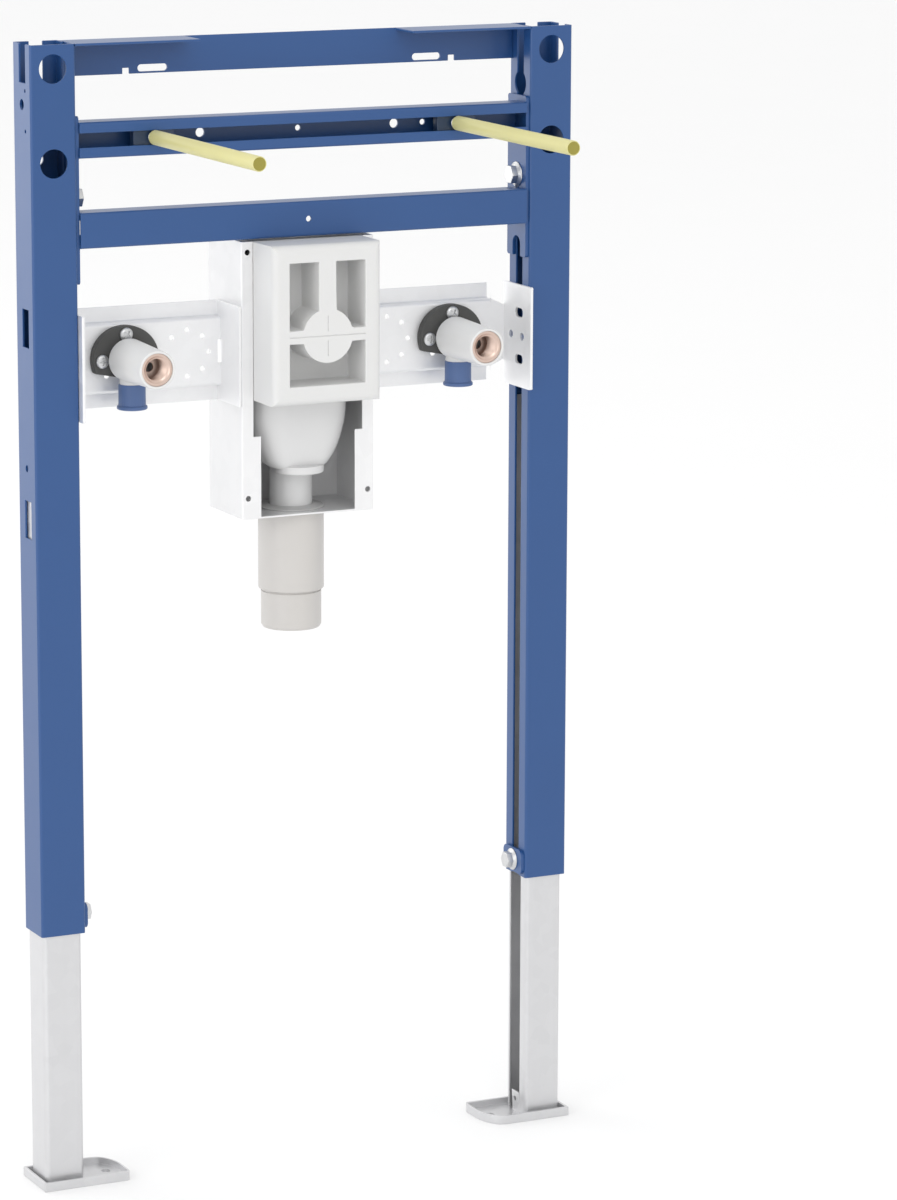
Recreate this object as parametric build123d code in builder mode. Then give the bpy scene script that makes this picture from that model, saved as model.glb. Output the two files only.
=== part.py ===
"""Basin installation frame: an in-wall washbasin frame with telescopic legs.

Millimetres, +X to the viewer's right, +Y into the wall, +Z up. The origin is
on the floor, midway between the two floor bolts.
"""

import os

from build123d import *

os.makedirs("parts", exist_ok=True)

# Driving dimensions
FRAME_W = 500.0
FRAME_H = 980.0
POST = 40.0
SHEET = 2.0
POST_LEN = 760.0
LEG_LEN = 652.0
SIDES = (("left", -1), ("right", 1))

# Named clearances
LEG_GAP = 0.4
SLIDE_GAP = 0.5
BOLT_GAP = 0.25
ROD_GAP = 1.0
COVER_GAP = 0.3
PIPE_GAP = 0.3
PIPE_STOP = 2.0

# Posts: C sections that open towards each other
POST_R = 2.5
POST_X = FRAME_W / 2 - POST / 2
POST_IN = FRAME_W / 2 - POST
POST_Z0 = FRAME_H - POST_LEN
POST_SLOT = 12.0
POST_FLAT = POST - 2 * POST_R
FRONT_Y = -POST / 2
ACCESS_R = 12.0
ACCESS_DROPS = (20.0, 98.0)
KEYHOLE_R = 10.5
KEYHOLE_DROP = 50.0
SIDE_HOLE_R = 4.5
NOTCH_W = 14.0
NOTCH_H = 32.0
SIDE_SLOT_Y = -1.5
SIDE_SLOT_DROPS = (236.0, 398.0)
PEG_Y = -7.5
PEG_R = 1.6
PEG_DROPS = (38.3, 71.6)
STOP_HOLE_R = 3.0
STOP_HOLE_DROP = 354.3
WALL_HOLE_R = 5.5

# Legs: the same section one size down, inside the posts
LEG = POST - 2 * SHEET - 2 * LEG_GAP
LEG_SLOT = 20.0
LEG_R = 4.0

# Foot plates: pressed trays
FOOT_T = 2.5
FOOT_RIM = 8.0
FOOT_IN = 47.0
FOOT_OUT = 5.0
FOOT_D = 52.0
FOOT_ROUND = 30.0
FOOT_CORNER = 6.0
FLOOR_BOLT_IN = 44.5
FLOOR_HOLE_R = 4.5
TAB_W = 14.0
TAB_H = 18.0
TAB_HOLE_R = 2.2

# Hexagon flange bolts
BOLT_R = 4.0
BOLT_HEAD_R = 9.5
BOLT_HEX_R = 7.5
BOLT_HEX_T = 6.0
BOLT_NUT = 16.0
BOLT_NUT_T = 6.0
CLAMP_H = 42.0
CLAMP_R = 6.0

# Rails
RAIL_H = 30.0
RAIL_D = 24.0
RAIL_SLOT = 12.0
FIXING_DROP = 80.0
RAIL_PITCH = 75.0
FIXING_Z = FRAME_H - FIXING_DROP
LOWER_Z = FIXING_Z - RAIL_PITCH
PIN_HOLE_R = 2.5
RAIL_HOLE_R = 4.0
RAIL_HOLE_IN = 120.0
RAIL_PIN_IN = 93.0
PLATE_T = 3.0
PLATE_IN = POST_IN - PLATE_T
PLATE_OVER = 5.0
PLATE_UNDER = 30.0
PLATE_R = 3.0
PLATE_NOTCH = 14.0
PLATE_NOTCH_H = 12.0
PLATE_BOLT_UP = 26.0
TOP_WALL_Y = POST_FLAT / 2
TOP_FLANGE_L = 112.0
TOP_SLOT_IN = 83.0
TOP_SLOT_L = 27.0
TOP_SLOT_W = 6.0
TOP_SLOT_UP = 4.5
TOP_NOTCH_IN = 59.0
TOP_NOTCH = 6.0

# Basin rods on slide nuts
ROD_X = 140.0
ROD_R = 5.0
ROD_OUT = 215.0
SLEEVE_R = 6.25
SLEEVE_END = 3.0
NUT_W = 26.0
NUT_H = 18.0
NUT_T = 8.0

# Trap box
BOX_W = 122.0
BOX_SHEET = 1.5
BOX_SET = 2.0
BOX_D = 72.0
BOX_H = 238.0
BOX_Y0 = FRONT_Y + BOX_SET
BOX_Z1 = LOWER_Z - RAIL_H / 2 - BOX_SET
BOX_Z0 = BOX_Z1 - BOX_H
FLANGE_HIGH = 10.0
FLANGE_LOW = 17.0
FLANGE_STEP = 71.0
BOX_HOLE_IN = 5.0
BOX_HOLE_TOP = 9.0
BOX_HOLE_LOW = 18.0

# Trap body and outlet
PIPE_SET = 37.0
PIPE_Y = BOX_Y0 + PIPE_SET
SLEEVE_PIPE_R = 28.5
SLEEVE_PIPE_L = 70.0
PIPE_R = 26.2
PIPE_WALL = 3.0
PIPE_STEP = 0.8
PIPE_OUT = 34.0
PIPE_CHAMFER = 2.5
NECK_R = 20.5
SEAL_T = 3.0
BOWL_IN = 39.0
BOWL_SET = 25.0
BOWL_DEEP = 46.0
BOWL_H = 78.0
BOWL_UP = 42.0
BOWL_R = 20.0
COLLAR_R = 22.0
COLLAR_H = 10.0
COLLAR_SET = 5.0
NECK_BACK = 30.0

# Moulded cover in front of the trap
COVER_W = BOX_W - 2 * FLANGE_HIGH - 2 * COVER_GAP
COVER_DRAFT = 3.2
COVER_D = 42.5
COVER_H = 132.0
COVER_WALL = 5.0
COVER_R = 7.0
WINDOW_IN = 12.5
WINDOW_BAR = 16.0
UPPER_WINDOW = (15.0, 72.0)
LOWER_WINDOW = (83.5, 122.0)
DISC_R = 23.0
SCORE_W = 1.0
SCORE_D = 0.6
SCORE_GAP = 4.0
SCORE_L = 13.0

# Tap traverses, folded from sheet
TAP_DROP = 270.0
TAP_INSET = 57.0
TAP_X = POST_IN - TAP_INSET
TAP_Z = FRAME_H - TAP_DROP
TRAV_SHEET = 2.0
TRAV_BEND = 2.5
WEB_Y = 24.0
WEB_H = 60.0
LIP_SET = 8.0
LIP_H = 13.0
LIP_IN = 15.5
TONGUE_CUT = 6.0
RING_IN = 33.0
RING_R = 20.0
RING_HOLE_R = 2.3
RELIEF_W = 2.5
RELIEF_H = 20.0
BRACKET_T = 2.5
BRACKET_H = 90.0
BRACKET_OUT = 7.5
BRACKET_SLOT = (15.0, 8.0)
BRACKET_SLOT_Y = -5.0
BRACKET_SLOT_DZ = 20.5
BRACKET_HOLE_R = 3.5
BRACKET_HOLE_DY = (-6.0, 15.0)

# Tap connections
TAP_OUT = 33.0
GASKET_R = 30.0
GASKET_T = 8.0
GASKET_SIDE = 11.0
GASKET_LOW = 17.0
TAP_R = 16.0
INSERT_R = 14.0
INSERT_BORE = 9.3
INSERT_L = 20.0
INSERT_SET = 1.5
SCREW_PCR = 21.0
SCREW_R = 4.0
SCREW_T = 2.5
CAP_Y = -1.0
BRANCH_R = 11.0
BRANCH_DROP = 22.0
CAP_R = 13.0
CAP_RIM_R = 14.6
CAP_RIM_T = 3.0
CAP_H = 20.0


# Posts
for side, s in SIDES:
    outer_face = Plane.YZ.offset(s * FRAME_W / 2)
    inner_face = Plane.YZ.offset(s * POST_IN)
    with BuildPart() as post:
        with BuildSketch(Plane.XY.offset(POST_Z0)):
            with Locations((s * POST_X, 0)):
                RectangleRounded(POST, POST, POST_R)
                Rectangle(POST - 2 * SHEET, POST - 2 * SHEET, mode=Mode.SUBTRACT)
            with Locations((s * POST_IN, 0)):
                Rectangle(4 * SHEET, POST_SLOT, mode=Mode.SUBTRACT)
        extrude(amount=POST_LEN)
        with BuildSketch(Plane.XZ.offset(-FRONT_Y)):
            with Locations(*[(s * POST_X, FRAME_H - drop) for drop in ACCESS_DROPS]):
                Circle(ACCESS_R)
        extrude(amount=-2 * SHEET, mode=Mode.SUBTRACT)
        with BuildSketch(Plane.XZ.offset(FRONT_Y)):
            with Locations((s * POST_X, FRAME_H - NOTCH_H / 2)):
                Rectangle(POST_SLOT, NOTCH_H)
            with Locations((s * POST_X, FRAME_H - ACCESS_DROPS[1])):
                Circle(WALL_HOLE_R)
        extrude(amount=2 * SHEET, mode=Mode.SUBTRACT)
        with BuildSketch(inner_face):
            with Locations((0, FRAME_H - KEYHOLE_DROP)):
                Circle(KEYHOLE_R)
        extrude(amount=2 * s * SHEET, mode=Mode.SUBTRACT)
        with BuildSketch(outer_face):
            with Locations((SIDE_SLOT_Y, FRAME_H - NOTCH_H / 2)):
                Rectangle(NOTCH_W, NOTCH_H)
            with Locations(*[(SIDE_SLOT_Y, FRAME_H - drop) for drop in SIDE_SLOT_DROPS]):
                Rectangle(NOTCH_W, NOTCH_H)
            with Locations((0, FRAME_H - KEYHOLE_DROP)):
                Circle(SIDE_HOLE_R)
            with Locations(*[(PEG_Y, FRAME_H - drop) for drop in PEG_DROPS]):
                Circle(PEG_R)
            with Locations((0, FRAME_H - STOP_HOLE_DROP)):
                Circle(STOP_HOLE_R)
        extrude(amount=-2 * s * SHEET, mode=Mode.SUBTRACT)
    post.part.label = f"{side}_post"
    export_step(post.part, f"parts/{side}_post.step")

# Legs
for side, s in SIDES:
    with BuildPart() as leg:
        with BuildSketch(Plane.XY.offset(FOOT_T)):
            with Locations((s * POST_X, 0)):
                RectangleRounded(LEG, LEG, LEG_R)
                RectangleRounded(LEG - 2 * SHEET, LEG - 2 * SHEET, LEG_R - SHEET,
                                 mode=Mode.SUBTRACT)
            with Locations((s * (POST_X - LEG / 2), 0)):
                Rectangle(4 * SHEET, LEG_SLOT, mode=Mode.SUBTRACT)
        extrude(amount=LEG_LEN)
    leg.part.label = f"{side}_leg"
    export_step(leg.part, f"parts/{side}_leg.step")

# Foot plates: one pressing, turned half round on the other side
LEG_FACE = POST_X - LEG / 2
FOOT_LEN = FOOT_IN + LEG + FOOT_OUT
FOOT_MID = POST_X + LEG / 2 + FOOT_OUT - FOOT_LEN / 2
FLOOR_BOLT_X = POST_X - FLOOR_BOLT_IN
for side, s in SIDES:
    with BuildPart() as foot:
        with BuildSketch(Plane.XY):
            with Locations((s * FOOT_MID, 0)):
                Rectangle(FOOT_LEN, FOOT_D)
        extrude(amount=FOOT_RIM)
        inner_end = foot.edges().filter_by(Axis.Z).group_by(Axis.X)[0 if s > 0 else -1]
        fillet(inner_end.sort_by(Axis.Y)[0 if s > 0 else -1], FOOT_ROUND)
        fillet(inner_end.sort_by(Axis.Y)[-1 if s > 0 else 0], FOOT_CORNER)
        offset(amount=-FOOT_T, openings=foot.faces().sort_by(Axis.Z)[-1])
        with BuildSketch(Plane.XY):
            with Locations((s * FLOOR_BOLT_X, 0)):
                Circle(FLOOR_HOLE_R)
        extrude(amount=FOOT_T, mode=Mode.SUBTRACT)
        with BuildSketch(Plane.YZ.offset(s * LEG_FACE)):
            with Locations((0, FOOT_T + TAB_H / 2)):
                Rectangle(TAB_W, TAB_H)
            with Locations((0, FOOT_T + TAB_H - TAB_W / 2)):
                Circle(TAB_HOLE_R, mode=Mode.SUBTRACT)
        extrude(amount=s * SHEET)
    foot.part.label = f"{side}_foot_plate"
    export_step(foot.part, f"parts/{side}_foot_plate.step")

# Clamps at the posts' lower ends
CLAMP_Z = POST_Z0 + CLAMP_H / 2
CLAMP_NUT_X = LEG_FACE + SHEET + SLIDE_GAP
for side, s in SIDES:
    with BuildPart() as clamp:
        with BuildSketch(Plane.YZ.offset(s * POST_IN)):
            with Locations((0, CLAMP_Z)):
                RectangleRounded(POST_FLAT, CLAMP_H, CLAMP_R)
                Circle(BOLT_R + BOLT_GAP, mode=Mode.SUBTRACT)
        extrude(amount=-s * PLATE_T)
    clamp.part.label = f"{side}_clamp_plate"
    export_step(clamp.part, f"parts/{side}_clamp_plate.step")

    with BuildPart() as screw:
        with BuildSketch(Plane.YZ.offset(s * PLATE_IN)):
            with Locations((0, CLAMP_Z)):
                Circle(BOLT_HEAD_R)
        extrude(amount=-s * SHEET)
        with BuildSketch(Plane.YZ.offset(s * (PLATE_IN - SHEET))):
            with Locations((0, CLAMP_Z)):
                RegularPolygon(BOLT_HEX_R, 6)
        extrude(amount=-s * BOLT_HEX_T)
        with BuildSketch(Plane.YZ.offset(s * PLATE_IN)):
            with Locations((0, CLAMP_Z)):
                Circle(BOLT_R)
        extrude(amount=s * (CLAMP_NUT_X + BOLT_NUT_T - PLATE_IN))
        with BuildSketch(Plane.YZ.offset(s * CLAMP_NUT_X)):
            with Locations((0, CLAMP_Z)):
                Rectangle(LEG - 4 * SHEET, BOLT_NUT)
        extrude(amount=s * BOLT_NUT_T)
    screw.part.label = f"{side}_clamp_screw"
    export_step(screw.part, f"parts/{side}_clamp_screw.step")

# Top rail: a back wall with a folded flange at each end
TOP_RAIL_Z0 = FRAME_H - RAIL_H
with BuildPart() as top_rail:
    with BuildSketch(Plane.XZ.offset(-TOP_WALL_Y)):
        with Locations((0, FRAME_H - RAIL_H / 2)):
            Rectangle(2 * POST_IN, RAIL_H)
        for s in (-1, 1):
            with Locations((s * (POST_IN - TOP_SLOT_IN), TOP_RAIL_Z0 + TOP_SLOT_UP)):
                SlotOverall(TOP_SLOT_L, TOP_SLOT_W, mode=Mode.SUBTRACT)
            with Locations((s * (POST_IN - TOP_NOTCH_IN), TOP_RAIL_Z0)):
                Rectangle(TOP_NOTCH, 2 * TOP_NOTCH - SHEET, mode=Mode.SUBTRACT)
    extrude(amount=SHEET)
    with BuildSketch(Plane.XY.offset(FRAME_H)):
        for s in (-1, 1):
            with Locations((s * (POST_IN - TOP_FLANGE_L / 2), (FRONT_Y + TOP_WALL_Y) / 2)):
                Rectangle(TOP_FLANGE_L, TOP_WALL_Y - FRONT_Y)
    extrude(amount=-SHEET)
top_rail.part.label = "top_rail"
export_step(top_rail.part, "parts/top_rail.step")

# Side plates and the bolts that hold them in the posts' slots
PLATE_Z0 = LOWER_Z - RAIL_H / 2 - PLATE_UNDER
PLATE_Z1 = FIXING_Z + RAIL_H / 2 + PLATE_OVER
PLATE_BOLT_Z = LOWER_Z + PLATE_BOLT_UP
for side, s in SIDES:
    with BuildPart() as plate:
        with BuildSketch(Plane.YZ.offset(s * POST_IN)):
            with Locations((0, (PLATE_Z0 + PLATE_Z1) / 2)):
                RectangleRounded(POST_FLAT, PLATE_Z1 - PLATE_Z0, PLATE_R)
            with Locations((0, PLATE_Z0)):
                SlotOverall(PLATE_NOTCH + 2 * PLATE_NOTCH_H - PLATE_R, PLATE_NOTCH, rotation=90,
                            mode=Mode.SUBTRACT)
            with Locations((0, PLATE_BOLT_Z)):
                Circle(BOLT_R + BOLT_GAP, mode=Mode.SUBTRACT)
        extrude(amount=-s * PLATE_T)
    plate.part.label = f"{side}_side_plate"
    export_step(plate.part, f"parts/{side}_side_plate.step")

    with BuildPart() as bolt:
        with BuildSketch(Plane.YZ.offset(s * PLATE_IN)):
            with Locations((0, PLATE_BOLT_Z)):
                Circle(BOLT_HEAD_R)
        extrude(amount=-s * SHEET)
        with BuildSketch(Plane.YZ.offset(s * (PLATE_IN - SHEET))):
            with Locations((0, PLATE_BOLT_Z)):
                RegularPolygon(BOLT_HEX_R, 6)
        extrude(amount=-s * BOLT_HEX_T)
        with BuildSketch(Plane.YZ.offset(s * PLATE_IN)):
            with Locations((0, PLATE_BOLT_Z)):
                Circle(BOLT_R)
        extrude(amount=s * (PLATE_T + SHEET + BOLT_NUT_T))
        with BuildSketch(Plane.YZ.offset(s * (POST_IN + SHEET))):
            with Locations((0, PLATE_BOLT_Z)):
                Rectangle(BOLT_NUT, BOLT_NUT)
        extrude(amount=s * BOLT_NUT_T)
    bolt.part.label = f"{side}_plate_bolt"
    export_step(bolt.part, f"parts/{side}_plate_bolt.step")

# Fixing rail, open to the front
RAIL_SPAN = 2 * PLATE_IN
RAIL_BACK = FRONT_Y + RAIL_D
with BuildPart() as fixing_rail:
    with BuildSketch(Plane.YZ.offset(-PLATE_IN)):
        with Locations((FRONT_Y + RAIL_D / 2, FIXING_Z)):
            RectangleRounded(RAIL_D, RAIL_H, POST_R)
            Rectangle(RAIL_D - 2 * SHEET, RAIL_H - 2 * SHEET, mode=Mode.SUBTRACT)
        with Locations((FRONT_Y, FIXING_Z)):
            Rectangle(4 * SHEET, RAIL_SLOT, mode=Mode.SUBTRACT)
    extrude(amount=RAIL_SPAN)
    with BuildSketch(Plane.XZ.offset(-RAIL_BACK)):
        with Locations((RAIL_HOLE_IN - POST_IN, FIXING_Z), (POST_IN - RAIL_HOLE_IN, FIXING_Z)):
            Circle(RAIL_HOLE_R)
        with Locations((0, FIXING_Z), (POST_IN - RAIL_PIN_IN, FIXING_Z)):
            Circle(PIN_HOLE_R)
    extrude(amount=2 * SHEET, mode=Mode.SUBTRACT)
fixing_rail.part.label = "fixing_rail"
export_step(fixing_rail.part, "parts/fixing_rail.step")

# Lower rail, the same section turned round
with BuildPart() as lower_rail:
    with BuildSketch(Plane.YZ.offset(-PLATE_IN)):
        with Locations((FRONT_Y + RAIL_D / 2, LOWER_Z)):
            RectangleRounded(RAIL_D, RAIL_H, POST_R)
            Rectangle(RAIL_D - 2 * SHEET, RAIL_H - 2 * SHEET, mode=Mode.SUBTRACT)
        with Locations((RAIL_BACK, LOWER_Z)):
            Rectangle(4 * SHEET, RAIL_SLOT, mode=Mode.SUBTRACT)
    extrude(amount=RAIL_SPAN)
    with BuildSketch(Plane.XZ.offset(-FRONT_Y)):
        with Locations((0, LOWER_Z)):
            Circle(PIN_HOLE_R)
    extrude(amount=-2 * SHEET, mode=Mode.SUBTRACT)
lower_rail.part.label = "lower_rail"
export_step(lower_rail.part, "parts/lower_rail.step")

# Basin rods, their protective sleeves and the slide nuts in the fixing rail
NUT_Y = FRONT_Y + SHEET + SLIDE_GAP
ROD_TIP = FRONT_Y - ROD_OUT
for side, s in SIDES:
    with BuildPart() as nut:
        with BuildSketch(Plane.XZ.offset(-NUT_Y)):
            with Locations((s * ROD_X, FIXING_Z)):
                Rectangle(NUT_W, NUT_H)
                Circle(ROD_R, mode=Mode.SUBTRACT)
        extrude(amount=-NUT_T)
    nut.part.label = f"{side}_slide_nut"
    export_step(nut.part, f"parts/{side}_slide_nut.step")

    with BuildPart() as rod:
        with BuildSketch(Plane.XZ.offset(-(NUT_Y + NUT_T))):
            with Locations((s * ROD_X, FIXING_Z)):
                Circle(ROD_R)
        extrude(amount=NUT_Y + NUT_T - ROD_TIP - SLEEVE_END)
    rod.part.label = f"{side}_rod"
    export_step(rod.part, f"parts/{side}_rod.step")

    with BuildPart() as sleeve:
        with BuildSketch(Plane.XZ.offset(-ROD_TIP)):
            with Locations((s * ROD_X, FIXING_Z)):
                Circle(SLEEVE_R)
        extrude(amount=-(ROD_OUT - ROD_GAP))
        with BuildSketch(Plane.XZ.offset(-ROD_TIP - SLEEVE_END)):
            with Locations((s * ROD_X, FIXING_Z)):
                Circle(ROD_R)
        extrude(amount=-ROD_OUT, mode=Mode.SUBTRACT)
    sleeve.part.label = f"{side}_rod_sleeve"
    export_step(sleeve.part, f"parts/{side}_rod_sleeve.step")

# Trap box: folded sheet, open to the front between its flanges
FLANGE_STEP_Z = BOX_Z0 + FLANGE_STEP
with BuildPart() as trap_box:
    with BuildSketch(Plane.XY.offset(BOX_Z0)):
        with Locations((0, BOX_Y0 + BOX_D / 2)):
            Rectangle(BOX_W, BOX_D)
    extrude(amount=BOX_H)
    with BuildSketch(Plane.XZ.offset(-BOX_Y0 - BOX_SHEET)):
        with Locations((0, (BOX_Z0 + BOX_Z1) / 2)):
            Rectangle(BOX_W - 2 * BOX_SHEET, BOX_H - 2 * BOX_SHEET)
    extrude(amount=-(BOX_D - 2 * BOX_SHEET), mode=Mode.SUBTRACT)
    with BuildSketch(Plane.XZ.offset(-BOX_Y0)):
        with Locations((0, (FLANGE_STEP_Z + BOX_Z1) / 2)):
            Rectangle(BOX_W - 2 * FLANGE_HIGH, BOX_Z1 - FLANGE_STEP_Z)
        with Locations((0, (FLANGE_STEP_Z + BOX_Z0 + BOX_SHEET) / 2)):
            Rectangle(BOX_W - 2 * FLANGE_LOW, FLANGE_STEP - BOX_SHEET)
        for s in (-1, 1):
            with Locations((s * (BOX_W / 2 - BOX_HOLE_IN), BOX_Z1 - BOX_HOLE_TOP),
                           (s * (BOX_W / 2 - BOX_HOLE_IN), BOX_Z0 + BOX_HOLE_LOW)):
                Circle(PIN_HOLE_R)
    extrude(amount=-BOX_SHEET, mode=Mode.SUBTRACT)
    with BuildSketch(Plane.XY.offset(BOX_Z0)):
        with Locations((0, PIPE_Y)):
            Circle(NECK_R + PIPE_GAP)
    extrude(amount=BOX_SHEET, mode=Mode.SUBTRACT)
trap_box.part.label = "trap_box"
export_step(trap_box.part, "parts/trap_box.step")

# Trap body: a bowl that narrows to a collar, with the outlet neck behind it
BOWL_W = BOX_W - BOWL_IN
BOWL_Y = BOX_Y0 + BOWL_SET
BOWL_Z0 = BOX_Z0 + BOWL_UP
BOWL_Z1 = BOWL_Z0 + BOWL_H
BOWL_STEPS = ((1.0, 1.0), (0.48, 0.99), (0.25, 0.88), (0.1, 0.72), (0.0, 0.56))
with BuildPart() as trap_body:
    for height, share in BOWL_STEPS:
        with BuildSketch(Plane.XY.offset(BOWL_Z0 + height * BOWL_H)):
            with Locations((0, BOWL_Y)):
                RectangleRounded(BOWL_W * share, BOWL_DEEP * (1 + share) / 2, BOWL_R * (1 + share) / 2)
    loft(ruled=True)
    with BuildSketch(Plane.XY.offset(BOWL_Z0)):
        with Locations((0, BOWL_Y - COLLAR_SET)):
            Circle(COLLAR_R)
    extrude(amount=COLLAR_H, both=True)
    with BuildSketch(Plane.XY.offset(BOX_Z0)):
        with Locations((0, PIPE_Y)):
            Circle(NECK_R)
    extrude(amount=BOWL_UP + NECK_BACK)
trap_body.part.label = "trap_body"
export_step(trap_body.part, "parts/trap_body.step")

# Outlet: a sleeve under the box and the pipe inside it, one step smaller there
SLEEVE_PIPE_Z0 = BOX_Z0 - SLEEVE_PIPE_L
PIPE_Z0 = SLEEVE_PIPE_Z0 - PIPE_OUT
SPIGOT_R = PIPE_R - PIPE_STEP
with BuildPart() as outlet_sleeve:
    with BuildSketch(Plane.XY.offset(BOX_Z0)):
        with Locations((0, PIPE_Y)):
            Circle(SLEEVE_PIPE_R)
            Circle(SPIGOT_R + PIPE_GAP, mode=Mode.SUBTRACT)
    extrude(amount=-SLEEVE_PIPE_L)
outlet_sleeve.part.label = "outlet_sleeve"
export_step(outlet_sleeve.part, "parts/outlet_sleeve.step")

with BuildPart() as outlet_pipe:
    with BuildSketch(Plane.XY.offset(PIPE_Z0)):
        with Locations((0, PIPE_Y)):
            Circle(PIPE_R)
    extrude(amount=PIPE_OUT - PIPE_STOP)
    rim = outlet_pipe.faces().sort_by(Axis.Z)[0].edges()
    chamfer(rim, PIPE_CHAMFER, PIPE_WALL / 2)
    with BuildSketch(Plane.XY.offset(BOX_Z0)):
        with Locations((0, PIPE_Y)):
            Circle(SPIGOT_R)
    extrude(amount=-(SLEEVE_PIPE_L + PIPE_STOP))
    with BuildSketch(Plane.XY.offset(PIPE_Z0)):
        with Locations((0, PIPE_Y)):
            Circle(PIPE_R - PIPE_WALL)
    extrude(amount=BOX_Z0 - PIPE_Z0, mode=Mode.SUBTRACT)
outlet_pipe.part.label = "outlet_pipe"
export_step(outlet_pipe.part, "parts/outlet_pipe.step")

# Rubber seal round the neck, on the floor of the box
with BuildPart() as trap_seal:
    with BuildSketch(Plane.XY.offset(BOX_Z0 + BOX_SHEET)):
        with Locations((0, PIPE_Y)):
            Circle(SLEEVE_PIPE_R)
            Circle(NECK_R + PIPE_GAP, mode=Mode.SUBTRACT)
    extrude(amount=SEAL_T)
trap_seal.part.label = "trap_seal"
export_step(trap_seal.part, "parts/trap_seal.step")

# Trap cover: a moulded shell with windows and a scored knock-out disc
COVER_Y1 = BOX_Y0 + BOX_SHEET
COVER_Y0 = COVER_Y1 - COVER_D
COVER_Z1 = BOX_Z1
COVER_MID = COVER_Z1 - COVER_H / 2
COVER_FRONT_W = COVER_W - 2 * COVER_DRAFT
WINDOW_OUT = COVER_FRONT_W / 2 - WINDOW_IN
DISC_Z = COVER_Z1 - (UPPER_WINDOW[1] + LOWER_WINDOW[0]) / 2
cover_front = Plane.XZ.offset(-COVER_Y0)
with BuildPart() as trap_cover:
    with BuildSketch(Plane.XZ.offset(-COVER_Y1)):
        with Locations((0, COVER_MID)):
            Rectangle(COVER_W, COVER_H)
    with BuildSketch(cover_front):
        with Locations((0, COVER_MID)):
            Rectangle(COVER_FRONT_W, COVER_H)
    loft()
    fillet(trap_cover.faces().sort_by(Axis.Y)[0].edges(), COVER_R)
    with BuildSketch(Plane.XZ.offset(-COVER_Y1)):
        with Locations((0, COVER_MID)):
            Rectangle(COVER_FRONT_W - 2 * COVER_WALL, COVER_H - 2 * COVER_WALL)
    extrude(amount=COVER_D - COVER_WALL, mode=Mode.SUBTRACT)
    with BuildSketch(cover_front):
        with Locations((0, COVER_Z1 - sum(UPPER_WINDOW) / 2)):
            Rectangle(2 * WINDOW_OUT, UPPER_WINDOW[1] - UPPER_WINDOW[0])
            Rectangle(WINDOW_BAR, UPPER_WINDOW[1] - UPPER_WINDOW[0], mode=Mode.SUBTRACT)
        with Locations((0, COVER_Z1 - sum(LOWER_WINDOW) / 2)):
            Rectangle(2 * WINDOW_OUT, LOWER_WINDOW[1] - LOWER_WINDOW[0])
        with Locations((0, DISC_Z)):
            Circle(DISC_R, mode=Mode.SUBTRACT)
    extrude(amount=-COVER_WALL, mode=Mode.SUBTRACT)
    with BuildSketch(cover_front):
        with Locations((0, DISC_Z)):
            Rectangle(2 * WINDOW_OUT, SCORE_W)
        with Locations((0, DISC_Z + SCORE_GAP + SCORE_L / 2), (0, DISC_Z - SCORE_GAP - SCORE_L / 2)):
            Rectangle(SCORE_W, SCORE_L)
    extrude(amount=-SCORE_D, mode=Mode.SUBTRACT)
trap_cover.part.label = "trap_cover"
export_step(trap_cover.part, "parts/trap_cover.step")

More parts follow.
